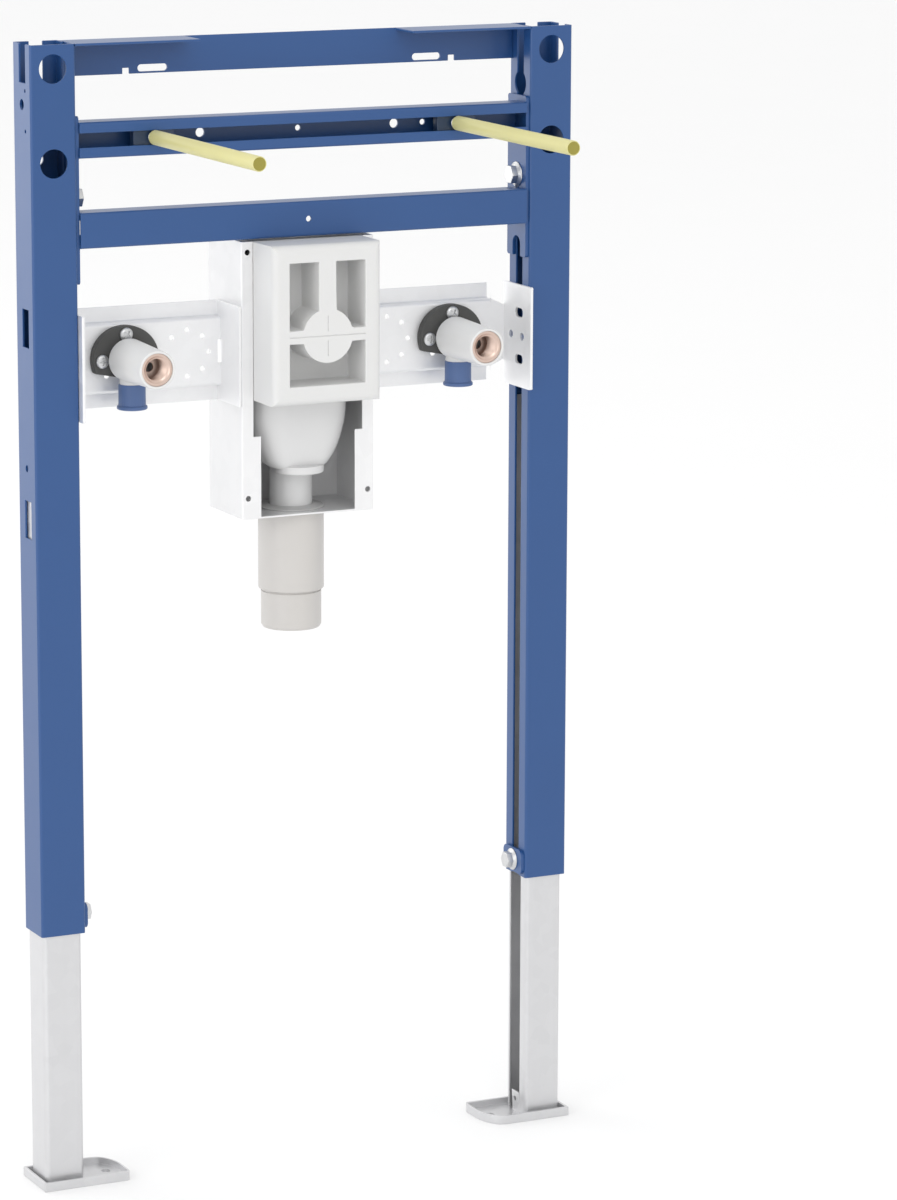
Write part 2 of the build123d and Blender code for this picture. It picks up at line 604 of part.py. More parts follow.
# Tap traverses: a hat section, a tongue with cut corners and the end bracket
BRACKET_IN = POST_IN - BRACKET_T
INNER_X = BOX_W / 2
WEB_Z0 = TAP_Z - WEB_H / 2
WEB_Z1 = TAP_Z + WEB_H / 2
LIP_END = POST_IN - LIP_IN
LIP_Y = WEB_Y + LIP_SET
BRACKET_Y0 = FRONT_Y - BRACKET_OUT
BRACKET_Y1 = WEB_Y + TRAV_SHEET
half = TRAV_SHEET / 2
hat = ((LIP_Y + half, WEB_Z1 + LIP_H), (LIP_Y + half, WEB_Z1 - half), (WEB_Y + half, WEB_Z1 - half),
       (WEB_Y + half, WEB_Z0 + half), (LIP_Y + half, WEB_Z0 + half), (LIP_Y + half, WEB_Z0 - LIP_H))
for side, s in SIDES:
    with BuildPart() as traverse:
        with BuildSketch(Plane.YZ.offset(s * INNER_X)):
            with BuildLine():
                FilletPolyline(*hat, radius=TRAV_BEND)
            trace(line_width=TRAV_SHEET)
        extrude(amount=s * (LIP_END - INNER_X))
        with BuildSketch(Plane.XZ.offset(-WEB_Y)):
            with BuildLine():
                Polyline((s * LIP_END, WEB_Z0), (s * LIP_END, WEB_Z1),
                         (s * BRACKET_IN, WEB_Z1 - TONGUE_CUT), (s * BRACKET_IN, WEB_Z0 + TONGUE_CUT),
                         close=True)
            make_face()
        extrude(amount=-TRAV_SHEET)
        with BuildSketch(Plane.YZ.offset(s * POST_IN)):
            with Locations(((BRACKET_Y0 + BRACKET_Y1) / 2, TAP_Z)):
                RectangleRounded(BRACKET_Y1 - BRACKET_Y0, BRACKET_H, SHEET)
            with Locations((BRACKET_SLOT_Y, TAP_Z - BRACKET_SLOT_DZ), (BRACKET_SLOT_Y, TAP_Z + BRACKET_SLOT_DZ)):
                SlotOverall(*BRACKET_SLOT, mode=Mode.SUBTRACT)
            with Locations(*[(BRACKET_SLOT_Y + dy, TAP_Z) for dy in BRACKET_HOLE_DY]):
                Circle(BRACKET_HOLE_R, mode=Mode.SUBTRACT)
        extrude(amount=-s * BRACKET_T)
        with BuildSketch(Plane.YZ.offset(s * INNER_X)):
            with Locations(((BOX_Y0 + BOX_SET + LIP_Y) / 2, TAP_Z)):
                Rectangle(LIP_Y - BOX_Y0 - BOX_SET, WEB_H + 2 * LIP_H)
        extrude(amount=s * TRAV_SHEET)
        with BuildSketch(Plane.XZ.offset(-WEB_Y)):
            with Locations((s * (INNER_X + RING_IN), TAP_Z)):
                with PolarLocations(RING_R, 8):
                    Circle(RING_HOLE_R)
            with Locations((s * TAP_X, TAP_Z)):
                with PolarLocations(SCREW_PCR, 3, start_angle=225, angular_range=90, endpoint=True):
                    Circle(RING_HOLE_R)
            with Locations((s * (INNER_X + TRAV_SHEET + RELIEF_W / 2), TAP_Z)):
                Rectangle(RELIEF_W, RELIEF_H)
        extrude(amount=-TRAV_SHEET, mode=Mode.SUBTRACT)
    traverse.part.label = f"{side}_traverse"
    export_step(traverse.part, f"parts/{side}_traverse.step")

# Tap connections: gasket, sleeve with inlet branch, threaded insert and cap
GASKET_Y = WEB_Y - GASKET_T
TAP_MOUTH_Y = FRONT_Y - TAP_OUT
INSERT_Y = TAP_MOUTH_Y + INSERT_SET
CAP_Z1 = TAP_Z - BRANCH_DROP
for side, s in SIDES:
    tap_at = (s * TAP_X, TAP_Z)
    with BuildPart() as gasket:
        with BuildSketch(Plane.XZ.offset(-WEB_Y)):
            with Locations(tap_at):
                Circle(GASKET_R)
            with BuildLine():
                Polyline((s * TAP_X - GASKET_R, TAP_Z - GASKET_SIDE), (s * TAP_X, TAP_Z - GASKET_LOW),
                         (s * TAP_X + GASKET_R, TAP_Z - GASKET_SIDE), (s * TAP_X + GASKET_R, WEB_Z0),
                         (s * TAP_X - GASKET_R, WEB_Z0), close=True)
            make_face(mode=Mode.SUBTRACT)
        extrude(amount=GASKET_T)
    gasket.part.label = f"{side}_tap_gasket"
    export_step(gasket.part, f"parts/{side}_tap_gasket.step")

    with BuildPart() as screws:
        with BuildSketch(Plane.XZ.offset(-GASKET_Y)):
            with Locations(tap_at):
                with PolarLocations(SCREW_PCR, 3, angular_range=180, endpoint=True):
                    Circle(SCREW_R)
        extrude(amount=SCREW_T)
    screws.part.label = f"{side}_tap_screws"
    export_step(screws.part, f"parts/{side}_tap_screws.step")

    with BuildPart() as tap:
        with BuildSketch(Plane.XZ.offset(-GASKET_Y)):
            with Locations(tap_at):
                Circle(TAP_R)
        extrude(amount=GASKET_Y - TAP_MOUTH_Y)
        with BuildSketch(Plane.XY.offset(CAP_Z1)):
            with Locations((s * TAP_X, CAP_Y)):
                Circle(BRANCH_R)
        extrude(amount=BRANCH_DROP)
        with BuildSketch(Plane.XZ.offset(-TAP_MOUTH_Y)):
            with Locations(tap_at):
                Circle(INSERT_R)
        extrude(amount=-(INSERT_SET + INSERT_L), mode=Mode.SUBTRACT)
    tap.part.label = f"{side}_tap_body"
    export_step(tap.part, f"parts/{side}_tap_body.step")

    with BuildPart() as insert:
        with BuildSketch(Plane.XZ.offset(-INSERT_Y)):
            with Locations(tap_at):
                Circle(INSERT_R)
                Circle(INSERT_BORE, mode=Mode.SUBTRACT)
        extrude(amount=-INSERT_L)
    insert.part.label = f"{side}_tap_insert"
    export_step(insert.part, f"parts/{side}_tap_insert.step")

    with BuildPart() as cap:
        with BuildSketch(Plane.XY.offset(CAP_Z1)):
            with Locations((s * TAP_X, CAP_Y)):
                Circle(CAP_R)
        extrude(amount=-CAP_H)
        with BuildSketch(Plane.XY.offset(CAP_Z1 - CAP_H)):
            with Locations((s * TAP_X, CAP_Y)):
                Circle(CAP_RIM_R)
        extrude(amount=CAP_RIM_T)
    cap.part.label = f"{side}_tap_cap"
    export_step(cap.part, f"parts/{side}_tap_cap.step")
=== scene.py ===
"""Basin installation frame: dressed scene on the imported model."""

import logging
import math
from dataclasses import dataclass
from enum import Enum
from typing import Iterable, Mapping, Optional, Protocol, Sequence, Union

import bmesh
import bpy
from mathutils import Matrix, Vector


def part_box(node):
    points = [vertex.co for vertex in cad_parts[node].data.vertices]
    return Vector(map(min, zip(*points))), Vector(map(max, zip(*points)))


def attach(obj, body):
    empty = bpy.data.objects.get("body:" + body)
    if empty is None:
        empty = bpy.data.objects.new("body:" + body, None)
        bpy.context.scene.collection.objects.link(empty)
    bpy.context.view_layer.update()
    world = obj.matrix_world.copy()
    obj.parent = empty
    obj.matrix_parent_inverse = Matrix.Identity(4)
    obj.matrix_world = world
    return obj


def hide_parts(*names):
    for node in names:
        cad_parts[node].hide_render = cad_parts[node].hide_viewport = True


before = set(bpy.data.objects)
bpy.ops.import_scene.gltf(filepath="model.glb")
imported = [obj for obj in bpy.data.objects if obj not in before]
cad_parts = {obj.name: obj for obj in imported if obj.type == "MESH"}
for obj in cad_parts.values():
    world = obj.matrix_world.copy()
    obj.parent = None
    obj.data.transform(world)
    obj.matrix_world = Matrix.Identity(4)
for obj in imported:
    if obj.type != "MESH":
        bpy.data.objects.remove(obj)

LOG = logging.getLogger("basin_frame")
MM = 0.001
FLAT_ANGLE = 0.6
SHARP_ANGLE = 35
CREASE_ANGLE = 32.0
Number = Union[int, float]
Colour = tuple[float, float, float, float]
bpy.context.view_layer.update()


def rgb(red: float, green: float, blue: float) -> Colour:
    """Returns an opaque colour."""
    return (red, green, blue, 1.0)


class Side(Enum):
    """The two sides of the frame, with the sign of X on each."""

    LEFT = -1
    RIGHT = 1

    @property
    def word(self) -> str:
        """Returns the word that starts the names of this side's pieces."""
        return self.name.lower()


class Axis(Enum):
    """A direction that a turned piece points along."""

    X = (1.0, 0.0, 0.0)
    NEG_X = (-1.0, 0.0, 0.0)
    NEG_Y = (0.0, -1.0, 0.0)
    NEG_Z = (0.0, 0.0, -1.0)

    def place(self, foot: Vector) -> Matrix:
        """Gives the matrix that stands local +Z along this direction.

        Args:
            foot: where the local origin goes, in metres.

        Returns:
            The placing matrix.
        """
        turn = Vector((0.0, 0.0, 1.0)).rotation_difference(Vector(self.value))
        return Matrix.Translation(foot) @ turn.to_matrix().to_4x4()


class Signal:
    """A shader socket that adds Math nodes when it is used in an expression."""

    def __init__(self, graph: "Graph", socket: bpy.types.NodeSocket) -> None:
        """Keeps the graph and the socket.

        Args:
            graph: the graph that new nodes are added to.
            socket: the output socket that this signal stands for.
        """
        self.graph = graph
        self.socket = socket

    def _math(self, operation: str, first: "Value", second: "Value") -> "Signal":
        """Adds one Math node.

        Args:
            operation: the node's operation.
            first: its first operand.
            second: its second operand.

        Returns:
            The node's result.
        """
        return self.graph.node("ShaderNodeMath", {"operation": operation}, {0: first, 1: second})

    def __add__(self, other: "Value") -> "Signal":
        """Returns self + other."""
        return self._math("ADD", self, other)

    def __radd__(self, other: Number) -> "Signal":
        """Returns other + self."""
        return self._math("ADD", other, self)

    def __sub__(self, other: "Value") -> "Signal":
        """Returns self - other."""
        return self._math("SUBTRACT", self, other)

    def __mul__(self, other: "Value") -> "Signal":
        """Returns self * other."""
        return self._math("MULTIPLY", self, other)

    def __rmul__(self, other: Number) -> "Signal":
        """Returns other * self."""
        return self._math("MULTIPLY", other, self)


Value = Union[Signal, Number, Colour, tuple[float, float, float]]


class Graph:
    """A node material with a Principled surface."""

    def __init__(self, name: str) -> None:
        """Starts an empty material.

        Args:
            name: the material's name.
        """
        self.material = bpy.data.materials.new(name)
        self.material.use_nodes = True
        self.tree = self.material.node_tree
        self.tree.nodes.clear()
        self.end = self.tree.nodes.new("ShaderNodeOutputMaterial")

    def node(self, kind: str, settings: Mapping[str, object],
             sockets: Mapping[Union[int, str], Value], output: Union[int, str] = 0) -> Signal:
        """Adds a node of any type.

        Args:
            kind: the node's type.
            settings: its properties, set before its sockets.
            sockets: values or links of its inputs, by name or index.
            output: the output that is returned.

        Returns:
            The chosen output as a signal.
        """
        made = self.tree.nodes.new(kind)
        for key, value in settings.items():
            setattr(made, key, value)
        for key, value in sockets.items():
            self.link(made.inputs[key], value)
        return Signal(self, made.outputs[output])

    def link(self, socket: bpy.types.NodeSocket, value: Value) -> None:
        """Links a signal to a socket, or sets the socket's own value.

        Args:
            socket: the input socket.
            value: a signal, a number or a colour.
        """
        if isinstance(value, Signal):
            self.tree.links.new(value.socket, socket)
        else:
            socket.default_value = value

    def place(self, scale: tuple[float, float, float] = (1.0, 1.0, 1.0)) -> Signal:
        """Gives the object coordinates, stretched along the axes.

        Args:
            scale: the stretch along each axis.

        Returns:
            The coordinates as a vector signal.
        """
        coords = self.node("ShaderNodeTexCoord", {}, {}, "Object")
        if scale == (1.0, 1.0, 1.0):
            return coords
        return self.node("ShaderNodeMapping", {}, {"Vector": coords, "Scale": scale})

    def noise(self, scale: float, detail: float = 2.0, where: Optional[Signal] = None) -> Signal:
        """Adds a noise texture.

        Args:
            scale: features per metre.
            detail: its octaves.
            where: the coordinates; plain object coordinates if left out.

        Returns:
            The noise factor, about 0 to 1.
        """
        return self.node("ShaderNodeTexNoise", {},
                         {"Vector": where or self.place(), "Scale": scale, "Detail": detail})

    def mix(self, factor: Value, first: Value, second: Value) -> Signal:
        """Mixes two colours.

        Args:
            factor: 0 for the first, 1 for the second.
            first: a colour.
            second: a colour.

        Returns:
            The mixed colour.
        """
        sockets = {0: factor, 6: first, 7: second}
        return self.node("ShaderNodeMix", {"data_type": "RGBA"}, sockets, 2)

    def bump(self, height: Signal, depth: float, strength: float) -> Signal:
        """Adds a bump node.

        Args:
            height: the relief, 0 to 1.
            depth: its height in metres.
            strength: how much of it shows.

        Returns:
            The bent normal.
        """
        sockets = {"Height": height, "Distance": depth, "Strength": strength}
        return self.node("ShaderNodeBump", {}, sockets)

    def surface(self, sockets: Mapping[str, Value]) -> bpy.types.Material:
        """Closes the graph with a Principled shader.

        Args:
            sockets: the shader's inputs.

        Returns:
            The finished material.
        """
        shader = self.node("ShaderNodeBsdfPrincipled", {}, sockets)
        self.tree.links.new(shader.socket, self.end.inputs["Surface"])
        return self.material


class Finish(Protocol):
    """Anything that can be made into a material."""

    def material(self) -> bpy.types.Material:
        """Returns the finish as a material."""


@dataclass(frozen=True)
class PowderCoat:
    """Satin powder coat with a fine orange peel."""

    name: str
    colour: Colour
    shade: Colour
    roughness: float = 0.4
    gloss: float = 0.3

    def material(self) -> bpy.types.Material:
        """Returns the coat as a material."""
        g = Graph(self.name)
        cloud = g.noise(22.0, 3.0)
        peel = g.noise(900.0, 2.0)
        return g.surface({
            "Base Color": g.mix(cloud, self.shade, self.colour),
            "Roughness": self.roughness - 0.05 + 0.1 * cloud,
            "Normal": g.bump(peel, 0.00006, 0.35),
            "Coat Weight": self.gloss,
            "Coat Roughness": 0.3,
        })


@dataclass(frozen=True)
class Galvanised:
    """Zinc coated sheet with a faint spangle and rolling lines, and painted shade behind a front
    fold where one is given.
    """

    name: str
    light: Colour
    dark: Colour
    roughness: float = 0.36
    metallic: float = 0.7
    spangle: float = 95.0
    # This factor darkens the colour behind fold_y, as painted shade on the walls and inside behind
    # a front fold.
    fold_shade_factor: float = 1.0
    fold_y: float = 1.0
    fold_blend: float = 0.002

    def material(self) -> bpy.types.Material:
        """Returns the zinc coat as a material, with painted shade on all that lies behind the
        fold.
        """
        g = Graph(self.name)
        warp = g.noise(160.0, 2.0)
        cells = g.node("ShaderNodeTexVoronoi", {},
                       {"Vector": g.place(), "Scale": self.spangle}, "Color")
        grain = g.node("ShaderNodeSeparateColor", {}, {"Color": cells}, 0)
        rolled = g.noise(120.0, 3.0, g.place((1.0, 1.0, 0.04)))
        flake = 0.55 * grain + 0.25 * rolled + 0.2 * warp
        # Everything behind fold_y is mixed to a darker colour: painted shade.
        depth = g.node("ShaderNodeSeparateXYZ", {}, {"Vector": g.place()}, "Y")
        behind = g.node("ShaderNodeMapRange", {},
                        {"Value": depth, "From Min": self.fold_y,
                         "From Max": self.fold_y + self.fold_blend})
        fold_shade_colour = tuple(self.fold_shade_factor * channel for channel in self.dark[:3]) + (1.0,)
        return g.surface({
            "Base Color": g.mix(behind, g.mix(flake, self.dark, self.light), fold_shade_colour),
            "Roughness": self.roughness + 0.12 * grain - 0.05 * rolled,
            "Metallic": self.metallic,
            "Normal": g.bump(warp, 0.00003, 0.25),
        })


@dataclass(frozen=True)
class PlatedSteel:
    """Bright zinc plating on turned and pressed fasteners."""

    name: str
    light: Colour
    dark: Colour
    roughness: float = 0.28

    def material(self) -> bpy.types.Material:
        """Returns the plating as a material."""
        g = Graph(self.name)
        stain = g.noise(260.0, 3.0)
        fine = g.noise(2400.0, 1.0)
        return g.surface({
            "Base Color": g.mix(stain, self.dark, self.light),
            "Roughness": self.roughness + 0.15 * stain,
            "Metallic": 1.0,
            "Normal": g.bump(fine, 0.00002, 0.2),
        })


@dataclass(frozen=True)
class Moulded:
    """Moulded plastic with a fine grain and slow flow marks."""

    name: str
    colour: Colour
    shade: Colour
    roughness: float = 0.42
    grain: float = 1500.0
    soft: float = 0.0

    def material(self) -> bpy.types.Material:
        """Returns the plastic as a material."""
        g = Graph(self.name)
        flow = g.noise(35.0, 2.0)
        grain = g.noise(self.grain, 2.0)
        return g.surface({
            "Base Color": g.mix(flow, self.shade, self.colour),
            "Roughness": self.roughness - 0.06 + 0.12 * flow,
            "Normal": g.bump(grain, 0.00003, 0.25),
            "Subsurface Weight": self.soft,
            "Subsurface Radius": (0.004, 0.004, 0.003),
            "Subsurface Scale": 1.0,
        })


@dataclass(frozen=True)
class DrawnTube:
    """Soft drawn tube with faint lines along its length."""

    name: str
    colour: Colour
    shade: Colour
    roughness: float = 0.35

    def material(self) -> bpy.types.Material:
        """Returns the tube as a material."""
        g = Graph(self.name)
        lines = g.noise(700.0, 2.0, g.place((1.0, 0.02, 1.0)))
        cloud = g.noise(40.0, 2.0)
        return g.surface({
            "Base Color": g.mix(0.6 * lines + 0.4 * cloud, self.shade, self.colour),
            "Roughness": self.roughness + 0.12 * lines,
            "Normal": g.bump(lines, 0.00004, 0.3),
            "Subsurface Weight": 0.15,
            "Subsurface Radius": (0.003, 0.003, 0.001),
            "Subsurface Scale": 1.0,
        })


@dataclass(frozen=True)
class Brass:
    """Machined brass with tool marks round the bore."""

    name: str
    light: Colour
    dark: Colour

    def material(self) -> bpy.types.Material:
        """Returns the brass as a material."""
        g = Graph(self.name)
        turned = g.noise(1800.0, 2.0, g.place((0.05, 1.0, 0.05)))
        cloud = g.noise(150.0, 2.0)
        return g.surface({
            "Base Color": g.mix(cloud, self.dark, self.light),
            "Roughness": 0.24 + 0.2 * turned,
            "Metallic": 1.0,
            "Normal": g.bump(turned, 0.00003, 0.3),
        })


@dataclass(frozen=True)
class Rubber:
    """Matt black rubber with a fine pitted skin."""

    name: str
    colour: Colour
    shade: Colour

    def material(self) -> bpy.types.Material:
        """Returns the rubber as a material."""
        g = Graph(self.name)
        pits = g.noise(1600.0, 3.0)
        bloom = g.noise(80.0, 3.0)
        return g.surface({
            "Base Color": g.mix(bloom, self.shade, self.colour),
            "Roughness": 0.62 + 0.2 * bloom,
            "Normal": g.bump(pits, 0.00005, 0.4),
        })


@dataclass(frozen=True)
class PaleFloor:
    """Plain pale studio floor with an even, slightly mottled paint."""

    name: str
    colour: Colour
    shade: Colour

    def material(self) -> bpy.types.Material:
        """Returns the floor paint as a material."""
        g = Graph(self.name)
        mottle = g.noise(3.0, 3.0)
        return g.surface({
            "Base Color": g.mix(mottle, self.shade, self.colour),
            "Roughness": 0.7 + 0.1 * mottle,
        })


class Shop:
    """Keeps one material for each finish and turns meshes into pieces."""

    def __init__(self, finishes: Mapping[str, Finish]) -> None:
        """Makes the materials.

        Args:
            finishes: a finish for each of the record's material slots and extra looks.
        """
        self.materials = {slot: finish.material() for slot, finish in finishes.items()}

    def piece(self, name: str, bm: bmesh.types.BMesh, slot: str, body: str,
              replaces: Sequence[str] = (), look: Optional[str] = None) -> bpy.types.Object:
        """Makes an object of a mesh, dresses it and hangs it on its body.

        Args:
            name: the piece's name.
            bm: its mesh, in place; it is freed here.
            slot: the record's material slot.
            body: the body that carries it.
            replaces: the nodes that it stands for.
            look: the finish to use, where it isn't the slot's own.

        Returns:
            The new object.
        """
        bmesh.ops.remove_doubles(bm, verts=bm.verts[:], dist=1e-6)
        for face in bm.faces:
            face.smooth = True
        mesh = bpy.data.meshes.new(name)
        bm.to_mesh(mesh)
        bm.free()
        mesh.set_sharp_from_angle(angle=math.radians(CREASE_ANGLE))
        made = bpy.data.objects.new(name, mesh)
        bpy.context.scene.collection.objects.link(made)
        mesh.materials.append(self.materials[look or slot])
        weighted = made.modifiers.new("even_normals", "WEIGHTED_NORMAL")
        weighted.keep_sharp = True
        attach(made, body)
        if replaces:
            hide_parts(*replaces)
        LOG.info("piece %s: %d faces on %s", name, len(mesh.polygons), body)
        return made

    def softened(self, node: str, slot: str, body: str, width: float,
                 look: Optional[str] = None) -> bpy.types.Object:
        """Copies a CAD node and rounds its sharp edges.

        Args:
            node: the node's name.
            slot: the record's material slot.
            body: the body that carries it.
            width: the bevel's width in millimetres.
            look: the finish to use, where it isn't the slot's own.

        Returns:
            The piece that stands for the node.
        """
        bm = rounded(copied(node), width)
        return self.piece(f"{node}_skin", bm, slot, body, (node,), look=look)


def copied(node: str) -> bmesh.types.BMesh:
    """Copies a CAD node's mesh, with its flat faces made whole.

    Args:
        node: the node's name.

    Returns:
        The copy, in place.
    """
    bm = bmesh.new()
    bm.from_mesh(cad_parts[node].data)
    bmesh.ops.remove_doubles(bm, verts=bm.verts[:], dist=2e-6)
    bmesh.ops.dissolve_limit(bm, angle_limit=math.radians(FLAT_ANGLE), verts=bm.verts[:],
                             edges=bm.edges[:])
    return bm


def bevelled(bm: bmesh.types.BMesh, geom: Sequence[object], width: float, segments: int = 2,
             affect: str = "EDGES", clamp: bool = True) -> bmesh.types.BMesh:
    """Bevels some edges or corners of a mesh.

    Args:
        bm: the mesh.
        geom: the edges or vertices.
        width: the bevel's width in millimetres.
        segments: the bevel's segments.
        affect: EDGES or VERTICES.
        clamp: whether neighbouring bevels stop where they meet.

    Returns:
        The same mesh.
    """
    bmesh.ops.bevel(bm, geom=geom, offset=width * MM, offset_type="OFFSET", segments=segments,
                    profile=0.5, affect=affect, clamp_overlap=clamp, material=-1)
    return bm


def rounded(bm: bmesh.types.BMesh, width: float, segments: int = 2) -> bmesh.types.BMesh:
    """Rounds the sharp edges between faces that are wide enough for it.

    Args:
        bm: the mesh.
        width: the bevel's width in millimetres.
        segments: the bevel's segments.

    Returns:
        The same mesh.
    """
    sharp = [e for e in bm.edges
             if len(e.link_faces) == 2 and e.calc_face_angle(0.0) > math.radians(SHARP_ANGLE)
             and all(2.0 * f.calc_area() / f.calc_perimeter() > 1.3 * width * MM
                     for f in e.link_faces)]
    return bevelled(bm, sharp, width, segments, clamp=False)


def stretched(bm: bmesh.types.BMesh, axis: int, start: float,
              stations: Sequence[tuple[float, float]]) -> bmesh.types.BMesh:
    """Moves the parts of a mesh along one axis, so that corners and holes keep their shape.

    Args:
        bm: the mesh.
        axis: 0, 1 or 2 for X, Y or Z.
        start: where the stations are counted from, in metres.
        stations: old and new places in millimetres, rising; what lies between two of them
            is shared out evenly.

    Returns:
        The same mesh.
    """
    for vert in bm.verts:
        old = (vert.co[axis] - start) / MM
        for (a, to_a), (b, to_b) in zip(stations, stations[1:]):
            if a <= old <= b:
                vert.co[axis] = start + (to_a + (old - a) * (to_b - to_a) / (b - a)) * MM
                break
    return bm


def turned(profile: Iterable[tuple[float, float]], steps: int = 64) -> bmesh.types.BMesh:
    """Spins a profile round local Z.

    Args:
        profile: radius and height of each point, in millimetres; it closes on the axis or on
            itself.
        steps: the steps of the full turn.

    Returns:
        The turned mesh, with its faces outwards.
    """
    bm = bmesh.new()
    points = [bm.verts.new((r * MM, 0.0, h * MM)) for r, h in profile]
    edges = [bm.edges.new(pair) for pair in zip(points, points[1:])]
    bmesh.ops.spin(bm, geom=points + edges, axis=(0.0, 0.0, 1.0), cent=(0.0, 0.0, 0.0),
                   steps=steps, angle=2.0 * math.pi, use_merge=True, use_duplicate=False)
    bmesh.ops.remove_doubles(bm, verts=bm.verts[:], dist=1e-6)
    bmesh.ops.recalc_face_normals(bm, faces=bm.faces[:])
    return bm


def placed(bm: bmesh.types.BMesh, matrix: Matrix) -> bmesh.types.BMesh:
    """Moves a whole mesh.

    Args:
        bm: the mesh.
        matrix: where it goes.

    Returns:
        The same mesh.
    """
    bmesh.ops.transform(bm, matrix=matrix, verts=bm.verts[:])
    return bm


def joined(meshes: Iterable[bmesh.types.BMesh]) -> bmesh.types.BMesh:
    """Puts several meshes into one and frees them.

    Args:
        meshes: the meshes.

    Returns:
        One mesh with all of their faces.
    """
    whole = bmesh.new()
    for part in meshes:
        carrier = bpy.data.meshes.new("carrier")
        part.to_mesh(carrier)
        part.free()
        whole.from_mesh(carrier)
        bpy.data.meshes.remove(carrier)
    return whole


def centre(node: str) -> Vector:
    """Returns the middle of a node's box, in metres."""
    low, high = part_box(node)
    return (low + high) / 2.0


@dataclass
class CoatedSteel:
    """Posts, rails and plates of coated sheet steel."""

    shop: Shop
    edge: float = 0.45
    post_trim: float = 4.5
    post_kept: float = 12.0
    clamp_h: float = 22.0
    clamp_corner: float = 6.5
    clamp_down: float = 3.2
    slot: str = "blue_coat"
    body: str = "frame"

    def clamp(self, node: str) -> None:
        """Makes a clamp plate at the height that the photograph shows.

        Args:
            node: the plate's node.
        """
        low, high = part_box(node)
        old, new, corner = (high.z - low.z) / 2 / MM, self.clamp_h / 2, self.clamp_corner
        stations = ((-old - 1, -new - 1), (corner - old, corner - new),
                    (old - corner, new - corner), (old + 1, new + 1))
        bm = stretched(copied(node), 2, (low.z + high.z) / 2, stations)
        placed(bm, Matrix.Translation((0.0, 0.0, -self.clamp_down * MM)))
        self.shop.piece(f"{node}_skin", rounded(bm, self.edge), self.slot, self.body, (node,))

    def post(self, node: str) -> None:
        """Makes a post, with its lower end where the photograph shows it.

        Args:
            node: the post's node.
        """
        stations = ((-1.0, self.post_trim - 1.0), (self.post_kept, self.post_kept))
        bm = stretched(copied(node), 2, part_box(node)[0].z, stations)
        self.shop.piece(f"{node}_skin", rounded(bm, self.edge), self.slot, self.body, (node,))

    def build(self) -> None:
        """Makes the softened sheet pieces."""
        for side in Side:
            self.post(f"{side.word}_post")
            self.shop.softened(f"{side.word}_side_plate", self.slot, self.body, self.edge)
            self.clamp(f"{side.word}_clamp_plate")
        for node in ("top_rail", "fixing_rail", "lower_rail"):
            self.shop.softened(node, self.slot, self.body, self.edge)


@dataclass
class Stand:
    """The galvanised legs on their foot plates."""

    shop: Shop
    edge: float = 0.4
    foot_cut: float = 8.0
    foot_end: float = 20.0
    leg_slot: float = 20.0
    slot_back: float = 3.8
    tab_back: float = 2.0
    rim_top: float = 9.0
    slot: str = "zinc_sheet"
    body: str = "stand"

    def foot(self, side: Side) -> None:
        """Makes a foot plate with the shorter inner end that the photograph shows.

        Args:
            side: the foot's side.
        """
        node = f"{side.word}_foot_plate"
        low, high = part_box(node)
        inner = low.x if side is Side.RIGHT else high.x
        ends = ((-1.0, self.foot_cut - 1.0), (self.foot_end, self.foot_end))
        if side is Side.LEFT:
            ends = tuple((-old, -new) for old, new in reversed(ends))
        bm = stretched(copied(node), 0, inner, ends)
        tab = [v for v in bm.verts if v.co.z > self.rim_top * MM]
        bmesh.ops.translate(bm, vec=(0.0, self.tab_back * MM, 0.0), verts=tab)
        self.shop.piece(f"{node}_skin", rounded(bm, self.edge), self.slot, self.body, (node,))

    def leg(self, node: str) -> None:
        """Makes a leg, with its slot nearer the wall as the photograph shows it.

        Args:
            node: the leg's node.
        """
        low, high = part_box(node)
        half, lip = (high.y - low.y) / 2 / MM, self.leg_slot / 2
        stations = ((-half - 0.1, -half - 0.1), (-lip, self.slot_back - lip),
                    (lip, self.slot_back + lip), (half + 0.1, half + 0.1))
        bm = stretched(copied(node), 1, (low.y + high.y) / 2, stations)
        self.shop.piece(f"{node}_skin", rounded(bm, self.edge), self.slot, self.body, (node,))

    def build(self) -> None:
        """Makes both legs and feet."""
        for side in Side:
            self.leg(f"{side.word}_leg")
            self.foot(side)


